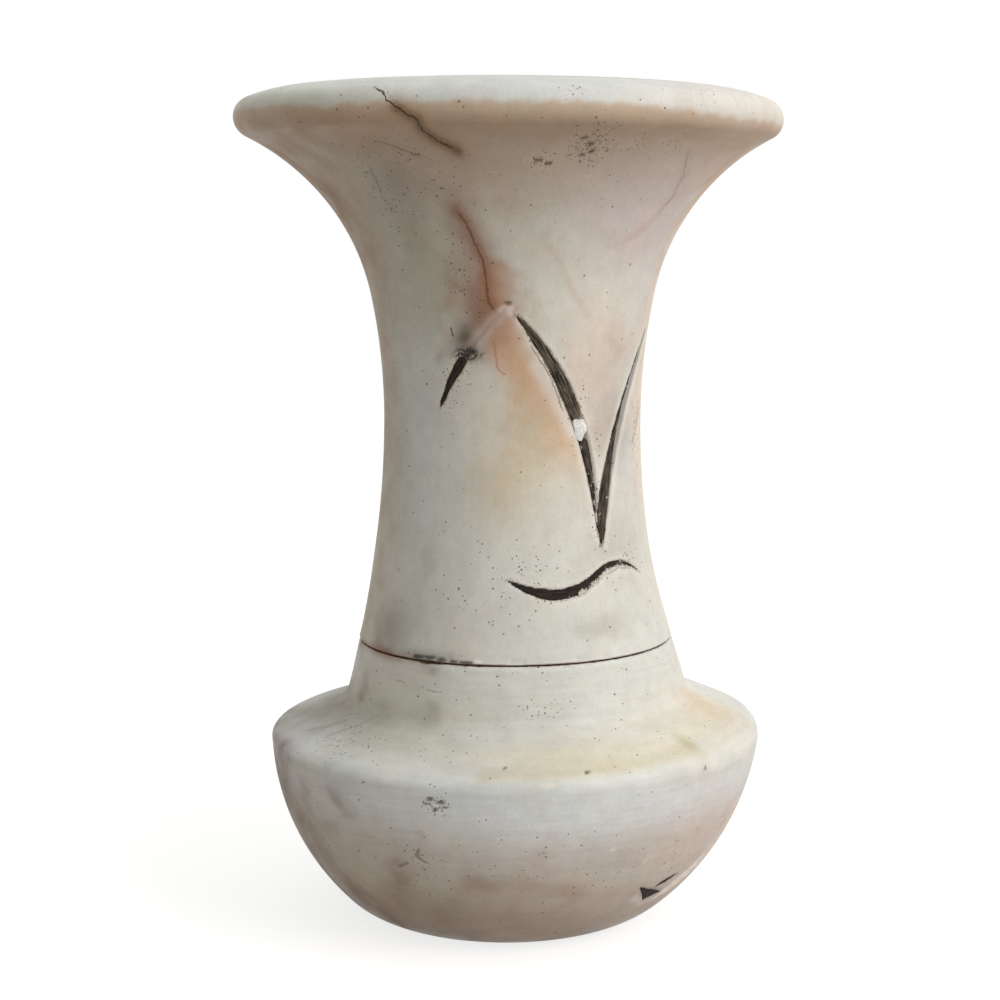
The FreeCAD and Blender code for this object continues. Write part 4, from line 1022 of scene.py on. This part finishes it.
def make_cement(material):
    """The bed in the seam, with its sleeve and ledge, and lumps pressed out at the front left."""
    rim = SEAM_RADIUS - SEAM_RECESS
    ledge = BORE_RADIUS + CEMENT_LEDGE
    middle = (SEAM_HEIGHT + SEAM_FACE) / 2
    outside = [(rim, SEAM_HEIGHT), (rim + 0.15 * MM, middle), (rim, SEAM_FACE)]
    inside = [(SPIGOT_RADIUS, SEAM_FACE), (SPIGOT_RADIUS, NECK_FOOT), (ledge, NECK_FOOT)]
    inside += [(ledge, SOCKET_FLOOR), (SOCKET_RADIUS, SOCKET_FLOOR), (SOCKET_RADIUS, SEAM_HEIGHT)]
    bed = Turned(np.array(outside + inside), len(outside), np.arange(0, 360, 0.5))
    pressed = np.maximum(np.exp(-((bed.turn + 32) / 5) ** 2), np.exp(-((bed.turn + 15.5) / 4) ** 2))
    lumps = pressed * (0.7 + 0.4 * cloud(bed.points, 2.2, 141)) * MM
    bed.depth = -(cloud(bed.points, 1.6, 140) * 0.2 * MM + lumps) * bed.outer
    bed.make("seam_cement_bed", "seam_cement", "cement", material)


neck = make_neck(stone_material("worn_alabaster_neck", (500.0, 500.0, 60.0), 0.02))
bowl = make_bowl(stone_material("worn_alabaster_bowl", (60.0, 60.0, 700.0), 0.04))
make_cement(crumbly_material("rusty_cement", (30, 22, 18), (98, 66, 44), 1.2, 0.85, 0.7))
make_plaster(crumbly_material("white_plaster", (206, 208, 208), (240, 241, 242), 0.8, 0.8, 0.6), neck)

# Fillings: name, stone, strips as (stroke, first and last share, widths, shift to the left), dust as (amount,
# spread, size in mm), worn places as (strength, range of shares, range of sides), and strength of the streaks
ALL = (-2.0, -1.0)
FILLINGS = (
    ("zigzag_left", neck, [(ZIGZAG_LEFT, 0.02, LEFT_BREAK_SHARE)],
     (0.12, 0.2, 2), [(0.3, (0.1, 0.0), ALL)], 0.2),
    ("zigzag_middle_upper", neck, [(ZIGZAG_MIDDLE, PLASTER_SHARE + PLASTER_HALF_SHARE, 0.985)],
     (0.14, 0.18, 2.5), [(0.1, ALL, (0.7, 0.95))], 0.9),
    ("zigzag_middle_lower", neck, [(ZIGZAG_MIDDLE, 0.04, PLASTER_SHARE - PLASTER_HALF_SHARE, LOW_WIDTHS)],
     (0.26, 0.26, 2), [(0.28, (0.22, 0.1), ALL)], 0.6),
    ("zigzag_right", neck, [(ZIGZAG_RIGHT, 0.02, 0.97, RIGHT_WIDTHS, 1.0)],
     (0.14, 0.22, 2.5), [(0.3, (0.55, 0.95), ALL)], 0.6),
    ("wave", neck, [(WAVE, 0.01, 0.985)], (0.06, 0.18, 1.8),
     [(0.65, (0.2, 0.5), (0.3, -0.8)), (0.15, (0.55, 0.8), ALL), (0.15, (0.85, 1.0), ALL)], 0.15),
    ("bowl_stroke", bowl, [(BOWL_WEDGE, 0.02, 0.97), (BOWL_TICK, 0.05, 0.95)],
     (0.1, 0.2, 1.8), [], 0.2),
)
filling = filling_material("black_filling")
for number, row in enumerate(FILLINGS):
    make_filling(number, filling, *row)

# Camera, as the photograph was taken
CAMERA_PLACE = (-3.55 * MM, -595.5 * MM, 201.1 * MM)
CAMERA_PITCH = 7.41
CAMERA_LENS = 72.54
CAMERA_SENSOR = 36.0
camera_data = bpy.data.cameras.new("camera")
camera_data.lens = CAMERA_LENS
camera_data.sensor_width = CAMERA_SENSOR
camera = add_object("camera", camera_data)
camera.location = CAMERA_PLACE
camera.rotation_euler = (math.radians(90 - CAMERA_PITCH), 0, 0)
bpy.context.scene.camera = camera

# Floor and light
FLOOR_HALF = 2.5
FLOOR_GLOW = 0.78
WHITE = (1.0, 1.0, 1.0)
SKY_LEFT = (0.34, 0.30, 0.235)
SKY_MIDDLE = (0.74, 0.745, 0.74)
SKY_RIGHT = (1.08, 1.05, 1.0)
SKY_LOW = (0.26, 0.25, 0.24)
LAMP_PLACE = Vector((0.95, -0.75, 0.75))
LAMP_AIM = Vector((0, 0, 0.12))
LAMP_WIDTH = 0.8
LAMP_POWER = 9.0
LAMP_COLOUR = (1.0, 0.98, 0.96)


def make_floor():
    """A pale floor that keeps the vase's shadow, and throws little light on the stone."""
    mesh = bpy.data.meshes.new("floor")
    corners = [(x * FLOOR_HALF, y * FLOOR_HALF, 0) for x, y in ((-1, -1), (1, -1), (1, 1), (-1, 1))]
    mesh.from_pydata(corners, [], [(0, 1, 2, 3)])
    floor = add_object("floor", mesh)
    material, graph = new_material("pale_floor")
    dim = graph.node("BsdfDiffuse", {"Color": srgb(165, 152, 138)})[0]
    pale = graph.node("BsdfDiffuse", {"Color": (0.35, 0.35, 0.35)})[0]
    glow = graph.node("Emission", {"Color": WHITE, "Strength": FLOOR_GLOW})[0]
    shown = graph.node("AddShader", {0: pale, 1: glow})[0]
    both = graph.node("MixShader", {0: graph.seen_directly(), 1: dim, 2: shown})[0]
    graph.node("OutputMaterial", {"Surface": both})
    mesh.materials.append(material)


def make_sky():
    """Soft light: bright at the right, dim and brown at the left and from below."""
    world = bpy.data.worlds.new("studio")
    world.use_nodes = True
    bpy.context.scene.world = world
    graph = Graph(world.node_tree)
    x, _, z = graph.node("SeparateXYZ", {0: graph.node("TexCoord", {})["Generated"]})
    sky = graph.mix(graph.ramp(x, -0.95, -0.05), SKY_LEFT, SKY_MIDDLE)
    sky = graph.mix(graph.ramp(x, 0.0, 0.85), sky, SKY_RIGHT)
    sky = graph.mix(graph.ramp(z, -0.25, 0.3), SKY_LOW, sky)
    background = graph.node("Background", {"Color": graph.mix(graph.seen_directly(), sky, WHITE)})[0]
    graph.node("OutputWorld", {"Surface": background})


make_floor()
make_sky()
lamp_data = bpy.data.lights.new("window", "AREA")
lamp_data.shape = "DISK"
lamp_data.size = LAMP_WIDTH
lamp_data.energy = LAMP_POWER
lamp_data.color = LAMP_COLOUR
lamp = add_object("window", lamp_data)
lamp.location = LAMP_PLACE
lamp.rotation_euler = (LAMP_AIM - LAMP_PLACE).to_track_quat("-Z", "Y").to_euler()
bpy.context.scene.view_settings.view_transform = "Standard"
